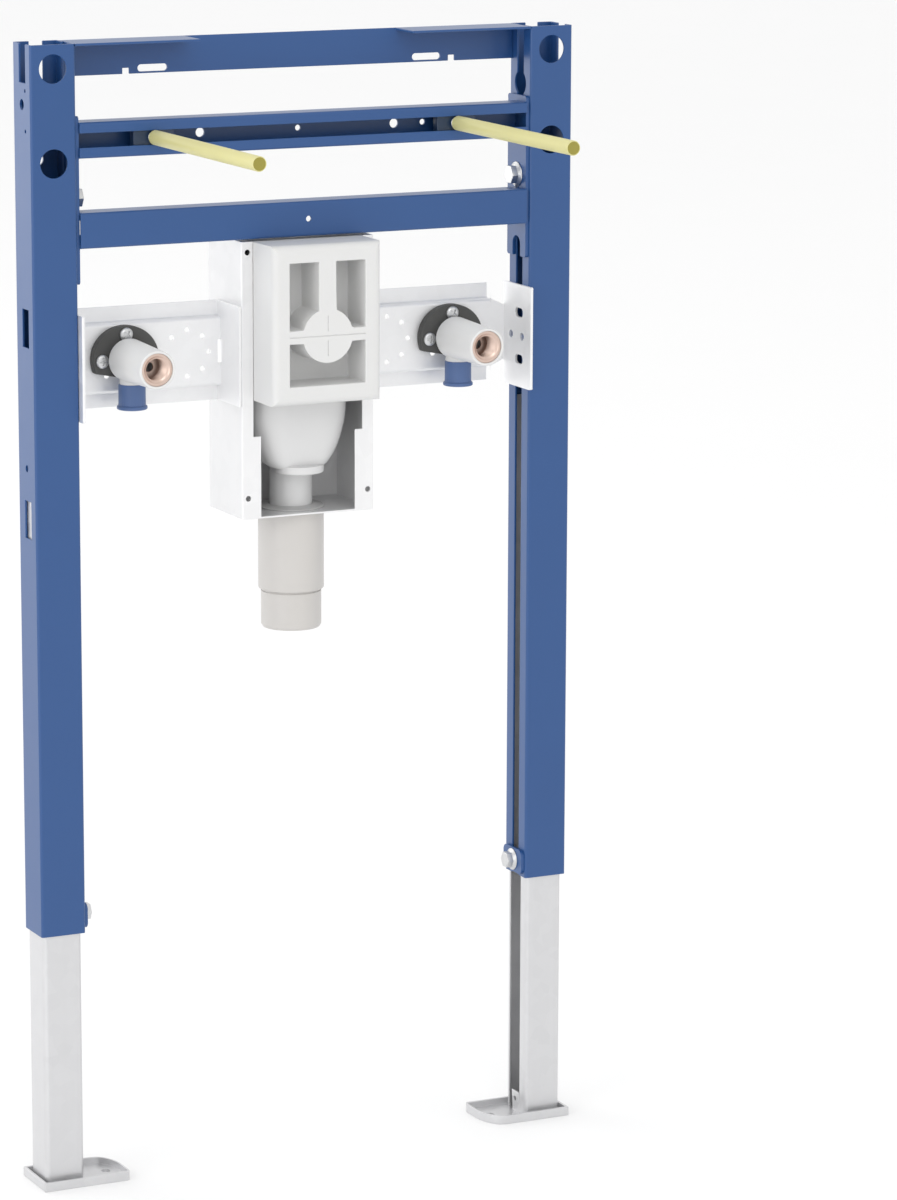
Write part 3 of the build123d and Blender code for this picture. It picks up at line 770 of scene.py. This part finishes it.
@dataclass
class FlangeBolt:
    """A hexagon bolt with a coned flange, its shank and its nut."""

    shop: Shop
    node: str
    side: Side
    flange_r: float
    flange_t: float = 2.0
    hex_share: float = 0.78
    hex_t: float = 6.0
    shank_r: float = 4.0
    pitch: float = 1.25
    groove: float = 0.6
    nut_w: float = 16.0
    nut_t: float = 6.0
    down: float = 0.0
    slot: str = "zinc_fastener"
    body: str = "frame"

    @property
    def hex_r(self) -> float:
        """Returns the hexagon's corner radius in millimetres."""
        return self.flange_r * self.hex_share

    def head(self) -> bmesh.types.BMesh:
        """Returns the head, seated at the origin and pointing along +Z."""
        top_z = self.flange_t + self.hex_t
        flange = turned([(0.0, 0.0), (self.flange_r - 0.4, 0.0), (self.flange_r, 0.4),
                         (self.flange_r - 0.2, 0.9), (self.hex_r - 0.4, self.flange_t + 0.6),
                         (0.0, self.flange_t + 0.6)], 48)
        nut = bmesh.new()
        bmesh.ops.create_cone(nut, cap_ends=True, segments=6, radius1=self.hex_r * MM,
                              radius2=self.hex_r * MM, depth=self.hex_t * MM)
        placed(nut, Matrix.Translation((0.0, 0.0, (self.flange_t + self.hex_t / 2) * MM)))
        top = [e for e in nut.edges if all(v.co.z > (top_z - 0.1) * MM for v in e.verts)]
        bevelled(nut, top, 0.8)
        sides = [e for e in nut.edges if abs(e.verts[0].co.z - e.verts[1].co.z) > 2 * MM]
        bevelled(nut, sides, 0.35)
        dimple = turned([(0.0, top_z + 0.05), (4.2, top_z + 0.05), (4.6, top_z - 0.3)], 32)
        return joined((flange, nut, dimple))

    def nut(self, at: Vector, wide: float) -> bmesh.types.BMesh:
        """Makes the square nut.

        Args:
            at: its middle, in metres.
            wide: its width along Y in millimetres.

        Returns:
            The nut, in place.
        """
        bm = bmesh.new()
        bmesh.ops.create_cube(bm, size=1.0)
        size = (self.nut_t * MM, wide * MM, self.nut_w * MM, 1.0)
        placed(bm, Matrix.Translation(at) @ Matrix.Diagonal(size))
        return bevelled(bm, bm.edges[:], 0.5)

    def build(self) -> None:
        """Makes the bolt where its node is."""
        low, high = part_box(self.node)
        middle = (low + high) / 2.0 - Vector((0.0, 0.0, self.down * MM))
        right = self.side is Side.RIGHT
        inner, outer = (low.x, high.x) if right else (high.x, low.x)
        away, back = (Axis.NEG_X, Axis.X) if right else (Axis.X, Axis.NEG_X)
        seat = inner + self.side.value * (self.flange_t + self.hex_t) * MM
        foot = Vector((seat, middle.y, middle.z))
        length = abs(outer - seat) / MM
        thread = [(0.0, 0.0)]
        for turn in range(int(length / self.pitch)):
            thread += [(self.shank_r, turn * self.pitch),
                       (self.shank_r - self.groove, turn * self.pitch + self.groove)]
        thread += [(self.shank_r, length), (0.0, length)]
        head = placed(self.head(), away.place(foot))
        shank = placed(turned(thread, 32), back.place(foot))
        wide = self.nut_w if "plate" in self.node else (high.y - low.y) / MM
        nut_x = outer - self.side.value * self.nut_t / 2 * MM
        nut = self.nut(Vector((nut_x, middle.y, middle.z)), wide)
        self.shop.piece(f"{self.node}_turned", joined((head, shank, nut)), self.slot, self.body,
                        (self.node,))


@dataclass
class BasinRod:
    """A threaded basin rod under its yellow sleeve, on a slide nut."""

    shop: Shop
    side: Side
    pitch: float = 1.5
    thread_l: float = 20.0
    nut_w: float = 38.0
    nut_kept: float = 6.0

    def nut(self, body: str) -> None:
        """Makes the slide nut, as wide as the photograph shows it, in a much darker blue that is
        painted shade for the rail channel it sits in.

        Args:
            body: the body that carries it.
        """
        node = f"{self.side.word}_slide_nut"
        low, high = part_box(node)
        old, new, kept = (high.x - low.x) / 2 / MM, self.nut_w / 2, self.nut_kept
        stations = ((-old - 1, -new - 1), (-kept, -kept), (kept, kept), (old + 1, new + 1))
        bm = rounded(stretched(copied(node), 0, (low.x + high.x) / 2, stations), 0.6)
        # The nut's darker look is painted shade from the rail channel around it.
        self.shop.piece(f"{node}_skin", bm, "blue_coat", body, (node,), look="channel_shade_coat")

    def build(self) -> None:
        """Makes the nut, the rod, the sleeve and the sleeve's end, the end in a darker olive as
        painted shade inside the open tube.
        """
        word, body = self.side.word, f"{self.side.word}_fixing"
        self.nut(body)
        low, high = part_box(f"{word}_rod")
        middle, length = (low + high) / 2.0, (high.y - low.y) / MM
        radius = (high.x - low.x) / 2 / MM
        foot = Vector((middle.x, high.y, middle.z))
        profile = [(0.0, 0.0), (radius - 0.8, 0.0)]
        for turn in range(int(self.thread_l / self.pitch)):
            profile += [(radius, 0.8 + turn * self.pitch),
                        (radius - 0.85, 0.8 + (turn + 0.5) * self.pitch)]
        profile += [(radius, self.thread_l + 2.0), (radius, length - 1.0),
                    (radius - 1.0, length), (0.0, length)]
        rod = placed(turned(profile, 40), Axis.NEG_Y.place(foot))
        self.shop.piece(f"{word}_rod_threaded", rod, "rod_steel", body, (f"{word}_rod",))
        low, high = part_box(f"{word}_rod_sleeve")
        length, outer = (high.y - low.y) / MM, (high.x - low.x) / 2 / MM
        foot = Vector((middle.x, high.y, middle.z))
        tube = [(radius + 0.05, 3.0), (radius + 0.05, 0.3), (radius + 0.4, 0.0),
                (outer - 0.3, 0.0), (outer, 0.4), (outer, length - 0.8),
                (outer - 0.2, length - 0.2), (outer - 0.5, length), (outer - 0.8, length - 0.1),
                (outer - 0.9, length - 0.5)]
        skin = placed(turned(tube, 56), Axis.NEG_Y.place(foot))
        self.shop.piece(f"{word}_rod_tube", skin, "yellow_sleeve", body, (f"{word}_rod_sleeve",))
        # The end disc sits just inside the tube's mouth; its darker olive is painted shade inside
        # the open end.
        end = [(outer - 0.85, length - 1.4), (outer - 0.85, length - 0.3),
               (outer - 1.6, length - 0.4), (0.0, length - 0.4)]
        plug = placed(turned(end, 40), Axis.NEG_Y.place(foot))
        self.shop.piece(f"{word}_rod_tip", plug, "yellow_sleeve", body, look="shaded_tube_end")


@dataclass
class TrapCover:
    """The moulded cover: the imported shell, closed behind its windows into deep pockets."""

    shop: Shop
    wall: float = 5.0
    pocket: float = 31.0
    flare: float = 2.7
    pocket_x: float = 37.0
    drop: float = 4.0
    sill: float = 2.5
    sill_low: float = 7.4
    sill_high: float = 8.0
    kept: float = 30.0
    edge: float = 1.0
    slot: str = "white_plastic"
    body: str = "frame"

    def pockets(self, bm: bmesh.types.BMesh, front: float) -> None:
        """Takes out the shell's inside and draws each window back to a floor.

        Args:
            bm: the cover's mesh.
            front: the Y of its front face, in metres.
        """
        middle = centre("trap_cover")
        inside = []
        for face in bm.faces:
            spot = face.calc_center_median()
            outwards = face.normal.x * (spot.x - middle.x) + face.normal.z * (spot.z - middle.z)
            behind = spot.y > front + (self.wall - 0.1) * MM
            if behind and (face.normal.y > 0.5 or outwards < 0.0):
                inside.append(face)
        bmesh.ops.delete(bm, geom=inside, context="FACES")
        back = front + (self.wall + 1) * MM
        rims = [e for e in bm.edges if e.is_boundary and all(v.co.y < back for v in e.verts)]
        walls = bmesh.ops.extrude_edge_only(bm, edges=rims)["geom"]
        bmesh.ops.translate(bm, vec=(0.0, self.pocket * MM, 0.0),
                            verts=[g for g in walls if isinstance(g, bmesh.types.BMVert)])
        bmesh.ops.holes_fill(bm, edges=[e for e in bm.edges if e.is_boundary], sides=0)
        bmesh.ops.recalc_face_normals(bm, faces=bm.faces[:])

    def build(self) -> None:
        """Makes the cover, with the sides and the lower end that the photograph shows."""
        low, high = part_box("trap_cover")
        bm = copied("trap_cover")
        self.pockets(bm, low.y)
        tall, deep = (high.z - low.z) / MM, high.y - low.y
        stations = ((-tall - 1, -tall - 1 - self.drop),
                    (-tall + self.sill_low, -tall + self.sill_low - self.drop),
                    (-tall + self.sill_high, -tall + self.sill_high + self.sill),
                    (-tall + self.kept, -tall + self.kept), (1.0, 1.0))
        stretched(bm, 2, high.z, stations)
        for vert in bm.verts:
            if abs(vert.co.x) > self.pocket_x * MM:
                wider = self.flare * MM * (high.y - vert.co.y) / deep
                vert.co.x += math.copysign(wider, vert.co.x)
        self.shop.piece("trap_cover_skin", rounded(bm, self.edge, 3), self.slot, self.body,
                        ("trap_cover",), look="cover_plastic")


@dataclass
class TrapUnit:
    """Trap box, bowl, seal and outlet pipe."""

    shop: Shop
    bowl_up: float = 39.0
    bowl_aside: float = 1.0
    bowl_deep: float = 46.0
    bowl_set: float = 25.0
    bowl_r: float = 15.0
    collar_r: float = 21.5
    collar_set: float = 5.0
    neck_r: float = 18.4
    neck_h: float = 62.0
    foot_share: float = 0.56
    shares: tuple[tuple[float, float], ...] = (
        (0.025, 0.63), (0.05, 0.685), (0.08, 0.73), (0.14, 0.81), (0.22, 0.89), (0.32, 0.965),
        (0.44, 1.025), (0.52, 1.055), (0.6, 1.07), (0.75, 1.075), (1.0, 1.075))
    sleeve_bore: float = 25.75
    pipe_bore: float = 23.2
    pipe_r: float = 25.4
    pipe_step: float = 72.0
    body: str = "frame"

    def bowl(self, foot: Vector, wide: float, tall: float) -> bmesh.types.BMesh:
        """Makes the bowl by drawing a rounded face up in widening rings.

        Args:
            foot: the middle of the bowl's lowest face, in metres.
            wide: the bowl's full width in metres.
            tall: its height in metres.

        Returns:
            The bowl's mesh, in place.
        """
        bm = bmesh.new()
        bmesh.ops.create_grid(bm, x_segments=1, y_segments=1, size=0.5)
        deep = self.bowl_deep * MM * (1 + self.foot_share) / 2
        placed(bm, Matrix.Diagonal((wide * self.foot_share, deep, 1.0, 1.0)))
        bevelled(bm, bm.verts[:], self.bowl_r, 10, "VERTICES")
        cap, share, level = bm.faces[:], self.foot_share, 0.0
        for next_level, next_share in self.shares:
            made = bmesh.ops.extrude_face_region(bm, geom=cap)["geom"]
            bmesh.ops.delete(bm, geom=cap, context="FACES_ONLY")
            ring = [g for g in made if isinstance(g, bmesh.types.BMVert)]
            cap = [g for g in made if isinstance(g, bmesh.types.BMFace)]
            growth = (next_share / share, (1 + next_share) / (1 + share), 1.0)
            bmesh.ops.scale(bm, vec=growth, verts=ring)
            bmesh.ops.translate(bm, vec=(0.0, 0.0, (next_level - level) * tall), verts=ring)
            share, level = next_share, next_level
        bmesh.ops.recalc_face_normals(bm, faces=bm.faces[:])
        return placed(bm, Matrix.Translation(foot))

    def build(self) -> None:
        """Makes the trap's pieces."""
        self.shop.softened("trap_box", "zinc_sheet", self.body, 0.35, look="box_sheet")
        low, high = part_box("trap_body")
        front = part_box("trap_box")[0].y
        foot = Vector((0.0, front + self.bowl_set * MM, low.z + self.bowl_up * MM))
        aside = Vector((-self.bowl_aside * MM, 0.0, 0.0))
        bowl = self.bowl(foot + aside, high.x - low.x, high.z - foot.z)
        collar = turned([(0.0, -4.5), (self.collar_r - 0.8, -4.5), (self.collar_r, -3.7),
                         (self.collar_r, 2.0), (0.0, 4.0)], 64)
        placed(collar, Matrix.Translation(foot - Vector((0.0, self.collar_set * MM, 0.0))))
        neck = turned([(0.0, 0.0), (self.neck_r, 0.0), (self.neck_r, self.neck_h),
                       (0.0, self.neck_h + 2.0)], 64)
        placed(neck, Matrix.Translation((0.0, centre("outlet_pipe").y, low.z)))
        self.shop.piece("trap_bowl", joined((bowl, collar, neck)), "white_plastic", self.body,
                        ("trap_body",), look="trap_plastic")
        self.pipe()

    def pipe(self) -> None:
        """Makes the outlet sleeve, the pipe end and the seal."""
        low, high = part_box("outlet_sleeve")
        outer, long = (high.x - low.x) / 2 / MM, (high.z - low.z) / MM
        bore = self.sleeve_bore
        hang = Axis.NEG_Z.place(Vector((0.0, (low.y + high.y) / 2, high.z)))
        skin = turned([(bore, 0.0), (outer, 0.0), (outer, long - 1.0), (outer - 0.5, long - 0.2),
                       (outer - 1.0, long), (bore + 0.15, long), (bore, long - 0.3),
                       (bore, 0.0)], 72)
        self.shop.piece("outlet_sleeve_turned", placed(skin, hang), "grey_plastic", self.body,
                        ("outlet_sleeve",))
        low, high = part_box("outlet_pipe")
        outer, long = (high.x - low.x) / 2 / MM, (high.z - low.z) / MM
        bore, slim, step = self.pipe_bore, self.pipe_r, self.pipe_step
        skin = turned([(bore, 0.0), (slim, 0.0), (slim, step - 0.2), (slim + 0.2, step),
                       (outer, step), (outer, long - 2.7), (outer - 0.2, long - 2.2),
                       (outer - 1.4, long - 0.1), (outer - 1.7, long), (bore + 0.3, long),
                       (bore, long - 0.3), (bore, 0.0)], 72)
        self.shop.piece("outlet_pipe_turned", placed(skin, hang), "grey_plastic", self.body,
                        ("outlet_pipe",))
        low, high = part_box("trap_seal")
        outer, inner = (high.x - low.x) / 2 / MM, self.neck_r + 0.3
        at = Vector((0.0, (low.y + high.y) / 2, low.z))
        skin = turned([(inner, 0.0), (outer - 0.4, 0.0), (outer, 0.5), (outer, 1.2),
                       (outer - 1.0, 1.8), (inner + 4.2, 2.0), (inner + 2.2, 2.9),
                       (inner + 0.8, 3.0), (inner, 2.4), (inner, 0.0)], 72)
        self.shop.piece("trap_seal_turned", placed(skin, Matrix.Translation(at)), "gasket_rubber",
                        self.body, ("trap_seal",), look="grey_rubber")


@dataclass
class TapConnection:
    """A tap connection on its folded traverse."""

    shop: Shop
    side: Side
    pitch: float = 1.814
    thread_r: float = 9.3
    bore_r: float = 6.5
    mouth_r: float = 16.3
    root_r: float = 18.2
    foot_r: float = 14.8
    foot_l: float = 5.0
    branch_r: float = 10.4
    branch_y: float = 4.0
    branch_drop: float = 19.5
    cap_h: float = 21.5
    cap_rim: float = 13.0
    cap_step: float = 1.4
    rib_angle: float = 5.0
    rib_share: float = 0.975
    screw_r: float = 5.8
    screw_h: float = 3.0
    screw_pcr: float = 21.9
    screw_down: float = 1.0
    gasket_top: float = 28.2
    body: str = "frame"

    def screw(self, radius: float, height: float) -> bmesh.types.BMesh:
        """Makes a pan head with a cross recess.

        Args:
            radius: the head's radius in millimetres.
            height: its height in millimetres.

        Returns:
            The head, standing on the origin along +Z.
        """
        bm = turned([(0.0, 0.0), (radius - 0.15, 0.0), (radius, 0.3),
                     (radius - 0.1, height * 0.5), (radius * 0.82, height * 0.82),
                     (radius * 0.5, height * 0.97), (0.0, height)], 40)
        arm, reach = 0.14 * radius * MM, 0.6 * radius * MM
        for normal in ((1.0, 0.0, 0.0), (0.0, 1.0, 0.0)):
            for limit in (-reach, -arm, arm, reach):
                whole = bm.verts[:] + bm.edges[:] + bm.faces[:]
                bmesh.ops.bisect_plane(bm, geom=whole, dist=1e-7, plane_co=Vector(normal) * limit,
                                       plane_no=normal)
        cross = []
        for face in bm.faces:
            spot = face.calc_center_median()
            near, far = sorted((abs(spot.x), abs(spot.y)))
            if spot.z > height * 0.6 * MM and far < reach and near < arm:
                cross.append(face)
        made = bmesh.ops.extrude_face_region(bm, geom=cross)["geom"]
        sunk = [g for g in made if isinstance(g, bmesh.types.BMVert)]
        bmesh.ops.delete(bm, geom=cross, context="FACES")
        bmesh.ops.translate(bm, vec=(0.0, 0.0, -0.5 * height * MM), verts=sunk)
        bmesh.ops.scale(bm, vec=(0.8, 0.8, 1.0), verts=sunk)
        bmesh.ops.recalc_face_normals(bm, faces=bm.faces[:])
        return bm

    def screws(self) -> None:
        """Makes the three screws that hold the gasket plate."""
        word = self.side.word
        back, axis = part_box(f"{word}_tap_screws")[1].y, centre(f"{word}_tap_insert")
        low = axis.z - self.screw_down * MM
        heads = []
        for turn in range(3):
            spot = math.radians(90 * turn)
            at = Vector((axis.x + math.cos(spot) * self.screw_pcr * MM, back,
                         low + math.sin(spot) * self.screw_pcr * MM))
            twist = Matrix.Rotation(math.radians(20 + 35 * turn), 4, "Z")
            head = self.screw(self.screw_r, self.screw_h)
            heads.append(placed(head, Axis.NEG_Y.place(at) @ twist))
        self.shop.piece(f"{word}_tap_pan_screws", joined(heads), "zinc_fastener", self.body,
                        (f"{word}_tap_screws",))

    def gasket(self) -> None:
        """Makes the gasket, a little lower at the top than its node."""
        node = f"{self.side.word}_tap_gasket"
        axis_z, top = centre(f"{self.side.word}_tap_insert").z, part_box(node)[1].z
        stations = ((0.0, 0.0), ((top - axis_z) / MM + 0.1, self.gasket_top))
        bm = rounded(stretched(copied(node), 2, axis_z, stations), 0.8, 3)
        self.shop.piece(f"{node}_skin", bm, "gasket_rubber", self.body, (node,))

    def sleeve(self) -> None:
        """Makes the tapered white sleeve with its inlet branch."""
        word = self.side.word
        low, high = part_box(f"{word}_tap_body")
        ring_low, ring_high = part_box(f"{word}_tap_insert")
        axis, long = (ring_low + ring_high) / 2.0, (high.y - low.y) / MM
        seat, socket = (high.y - ring_high.y) / MM, (ring_high.x - ring_low.x) / 2 / MM
        bottom = high.y / MM - self.branch_y
        barrel = turned([(0.0, 0.0), (self.foot_r, 0.0), (self.foot_r, self.foot_l),
                         (self.root_r - 0.8, self.foot_l), (self.root_r, self.foot_l + 0.8),
                         (self.mouth_r, long - 1.2), (self.mouth_r - 0.35, long - 0.35),
                         (self.mouth_r - 0.9, long), (socket + 0.35, long), (socket, long - 0.4),
                         (socket, seat), (self.bore_r, seat), (self.bore_r, bottom),
                         (0.0, bottom)], 64)
        branch = turned([(0.0, 0.0), (self.branch_r, 0.0), (self.branch_r, self.branch_drop),
                         (0.0, self.branch_drop)], 48)
        placed(barrel, Axis.NEG_Y.place(Vector((axis.x, high.y, axis.z))))
        placed(branch, Axis.NEG_Z.place(Vector((axis.x, self.branch_y * MM, axis.z))))
        self.shop.piece(f"{word}_tap_sleeve", joined((barrel, branch)), "white_plastic", self.body,
                        (f"{word}_tap_body",))

    def insert(self) -> None:
        """Makes the threaded brass insert."""
        word = self.side.word
        low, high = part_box(f"{word}_tap_insert")
        outer, long, bore = (high.x - low.x) / 2 / MM, (high.y - low.y) / MM, self.thread_r
        foot = Vector(((low.x + high.x) / 2, high.y, (low.z + high.z) / 2))
        profile = [(outer - 0.02, 0.0), (outer - 0.02, long - 0.5), (outer - 0.5, long),
                   (bore + 2.2, long), (bore + 1.2, long - 1.0)]
        height = long - 1.6
        while height > 1.0:
            profile += [(bore, height), (bore + 1.1, height - self.pitch / 2)]
            height -= self.pitch
        profile += [(bore, 1.4), (4.4, 1.0), (4.0, 0.6), (4.0, 0.0), (outer - 0.02, 0.0)]
        ring = placed(turned(profile, 64), Axis.NEG_Y.place(foot))
        self.shop.piece(f"{word}_tap_thread", ring, "brass_insert", self.body,
                        (f"{word}_tap_insert",))

    def cap(self) -> None:
        """Makes the blue protection cap with its grip ribs."""
        word = self.side.word
        axis, rim, tall = centre(f"{word}_tap_insert"), self.cap_rim, self.cap_h
        at = Vector((axis.x, self.branch_y * MM, axis.z - (self.branch_drop + tall) * MM))
        bm = turned([(0.0, 0.6), (rim - 2.4, 0.6), (rim - 2.0, 0.0), (rim - 0.7, 0.0), (rim, 0.6),
                     (rim, 2.3), (rim - 0.5, 3.0), (rim - self.cap_step, 3.4),
                     (rim - self.cap_step - 0.1, tall - 0.9), (rim - self.cap_step - 0.8, tall),
                     (0.0, tall)], 72)
        for vert in [v for v in bm.verts if 3.2 * MM < v.co.z < (tall - 0.5) * MM]:
            turn = round(math.degrees(math.atan2(vert.co.y, vert.co.x)) / self.rib_angle)
            if turn % 2:
                vert.co.xy *= self.rib_share
        self.shop.piece(f"{word}_tap_cap_ribbed", placed(bm, Matrix.Translation(at)), "blue_cap",
                        self.body, (f"{word}_tap_cap",))

    def build(self) -> None:
        """Makes the traverse and everything on it."""
        word = self.side.word
        self.shop.softened(f"{word}_traverse", "zinc_sheet", self.body, 0.35,
                           look="light_sheet")
        self.gasket()
        self.screws()
        self.sleeve()
        self.insert()
        self.cap()


@dataclass
class Studio:
    """Pale floor, soft lights and the photograph's camera."""

    eye: tuple[float, float, float] = (-1.66924, -3.70314, 1.32925)
    yaw: float = 0.455051
    pitch: float = 0.203298
    roll: float = 0.003689
    lens: float = 143.961

    def floor(self) -> None:
        """Lays the floor."""
        bm = bmesh.new()
        bmesh.ops.create_grid(bm, x_segments=8, y_segments=8, size=30.0)
        mesh = bpy.data.meshes.new("studio_floor")
        bm.to_mesh(mesh)
        bm.free()
        ground = bpy.data.objects.new("studio_floor", mesh)
        bpy.context.scene.collection.objects.link(ground)
        paint = PaleFloor("floor_paint", rgb(0.955, 0.955, 0.955), rgb(0.945, 0.945, 0.945))
        mesh.materials.append(paint.material())

    def lamp(self, name: str, spot: tuple[float, float, float],
             aim: tuple[float, float, float], size: float, power: float) -> None:
        """Hangs a soft light.

        Args:
            name: the light's name.
            spot: where it hangs, in metres.
            aim: what it points at.
            size: its side length in metres.
            power: its power in watts.
        """
        data = bpy.data.lights.new(name, "AREA")
        data.shape, data.size, data.energy = "SQUARE", size, power
        lamp = bpy.data.objects.new(name, data)
        lamp.location = spot
        ray = Vector(aim) - Vector(spot)
        lamp.rotation_euler = ray.to_track_quat("-Z", "Y").to_euler()
        bpy.context.scene.collection.objects.link(lamp)

    def camera(self) -> None:
        """Sets the camera that the photograph was solved for."""
        ahead = Vector((math.sin(self.yaw) * math.cos(self.pitch),
                        math.cos(self.yaw) * math.cos(self.pitch), -math.sin(self.pitch)))
        flat = Vector((math.cos(self.yaw), -math.sin(self.yaw), 0.0))
        over = flat.cross(ahead)
        right = math.cos(self.roll) * flat + math.sin(self.roll) * over
        up = -math.sin(self.roll) * flat + math.cos(self.roll) * over
        data = bpy.data.cameras.new("photo_camera")
        data.sensor_fit, data.sensor_width, data.lens = "AUTO", 36.0, self.lens
        data.clip_start, data.clip_end = 0.1, 200.0
        eye = bpy.data.objects.new("photo_camera", data)
        turn = Matrix((right, up, -ahead)).transposed().to_4x4()
        eye.matrix_world = Matrix.Translation(self.eye) @ turn
        bpy.context.scene.collection.objects.link(eye)
        bpy.context.scene.camera = eye

    def build(self) -> None:
        """Sets up the floor, the light and the camera."""
        self.floor()
        world = bpy.data.worlds.new("white_studio")
        world.use_nodes = True
        sky = world.node_tree.nodes["Background"]
        sky.inputs["Color"].default_value = (1.0, 1.0, 1.0, 1.0)
        sky.inputs["Strength"].default_value = 1.0
        bpy.context.scene.world = world
        self.lamp("front_softbox", (-1.0, -3.4, 3.0), (0.0, 0.0, 0.6), 2.0, 18.0)
        self.lamp("left_softbox", (-3.6, -1.4, 1.3), (0.0, 0.0, 0.6), 2.4, 26.0)
        self.lamp("back_left_softbox", (-3.4, 4.6, 1.6), (0.0, 0.0, 0.5), 4.0, 60.0)
        self.camera()
        bpy.context.scene.view_settings.view_transform = "Standard"
        bpy.context.scene.view_settings.look = "None"


def finishes() -> dict[str, Finish]:
    """Returns the finish of each material slot and of the extra looks."""
    return {
        "blue_coat": PowderCoat("blue_powder_coat", rgb(0.013, 0.073, 0.238),
                                rgb(0.011, 0.067, 0.224)),
        # Much darker blue for the slide nuts: painted shade inside the fixing rail's channel.
        "channel_shade_coat": PowderCoat("channel_shade_coat", rgb(0.010, 0.030, 0.075), rgb(0.008, 0.024, 0.060)),
        "zinc_sheet": Galvanised("galvanised_leg", rgb(0.68, 0.68, 0.69), rgb(0.63, 0.63, 0.64)),
        "light_sheet": Galvanised("galvanised_sheet", rgb(0.90, 0.90, 0.905),
                                  rgb(0.86, 0.86, 0.865), 0.42, 0.45),
        # The trap box's walls and inside behind its front fold get painted shade.
        "box_sheet": Galvanised("galvanised_box", rgb(0.86, 0.86, 0.865),
                                rgb(0.82, 0.82, 0.825), 0.42, 0.45, fold_shade_factor=0.89,
                                fold_y=-0.0165),
        "zinc_fastener": PlatedSteel("zinc_plating", rgb(0.74, 0.74, 0.74), rgb(0.56, 0.57, 0.58)),
        "rod_steel": PlatedSteel("rod_plating", rgb(0.72, 0.72, 0.72),
                                 rgb(0.55, 0.55, 0.56), 0.34),
        "yellow_sleeve": DrawnTube("yellow_tube", rgb(0.70, 0.66, 0.31), rgb(0.64, 0.60, 0.26)),
        # Darker olive for the sleeve ends: painted shade inside the open tube ends.
        "shaded_tube_end": DrawnTube("yellow_tube_end", rgb(0.34, 0.30, 0.050),
                              rgb(0.29, 0.25, 0.040), 0.5),
        "white_plastic": Moulded("white_moulding", rgb(0.745, 0.745, 0.74),
                                 rgb(0.72, 0.72, 0.715), soft=0.05),
        "cover_plastic": Moulded("cover_moulding", rgb(0.715, 0.715, 0.71),
                                 rgb(0.69, 0.69, 0.685), soft=0.05),
        "trap_plastic": Moulded("trap_moulding", rgb(0.68, 0.68, 0.68),
                                rgb(0.645, 0.645, 0.645), 0.38),
        "grey_plastic": Moulded("outlet_pipe_plastic", rgb(0.59, 0.57, 0.547),
                                rgb(0.555, 0.535, 0.512), 0.4),
        "gasket_rubber": Rubber("gasket_rubber", rgb(0.085, 0.085, 0.083),
                                rgb(0.062, 0.062, 0.060)),
        "grey_rubber": Rubber("grey_rubber", rgb(0.50, 0.50, 0.50), rgb(0.43, 0.43, 0.43)),
        "brass_insert": Brass("machined_brass", rgb(0.74, 0.59, 0.52), rgb(0.64, 0.48, 0.40)),
        "blue_cap": Moulded("blue_cap_plastic", rgb(0.080, 0.143, 0.315),
                            rgb(0.066, 0.120, 0.275), 0.38),
    }


def main() -> None:
    """Builds the object and the studio."""
    logging.basicConfig(level=logging.INFO, format="%(name)s: %(message)s")
    shop = Shop(finishes())
    CoatedSteel(shop).build()
    Stand(shop).build()
    for side in Side:
        FlangeBolt(shop, f"{side.word}_plate_bolt", side, 11.0).build()
        FlangeBolt(shop, f"{side.word}_clamp_screw", side, 9.8,
                   down=CoatedSteel.clamp_down).build()
        BasinRod(shop, side).build()
        TapConnection(shop, side).build()
    TrapUnit(shop).build()
    TrapCover(shop).build()
    Studio().build()
    bpy.context.view_layer.update()


if __name__ == "__main__":
    main()
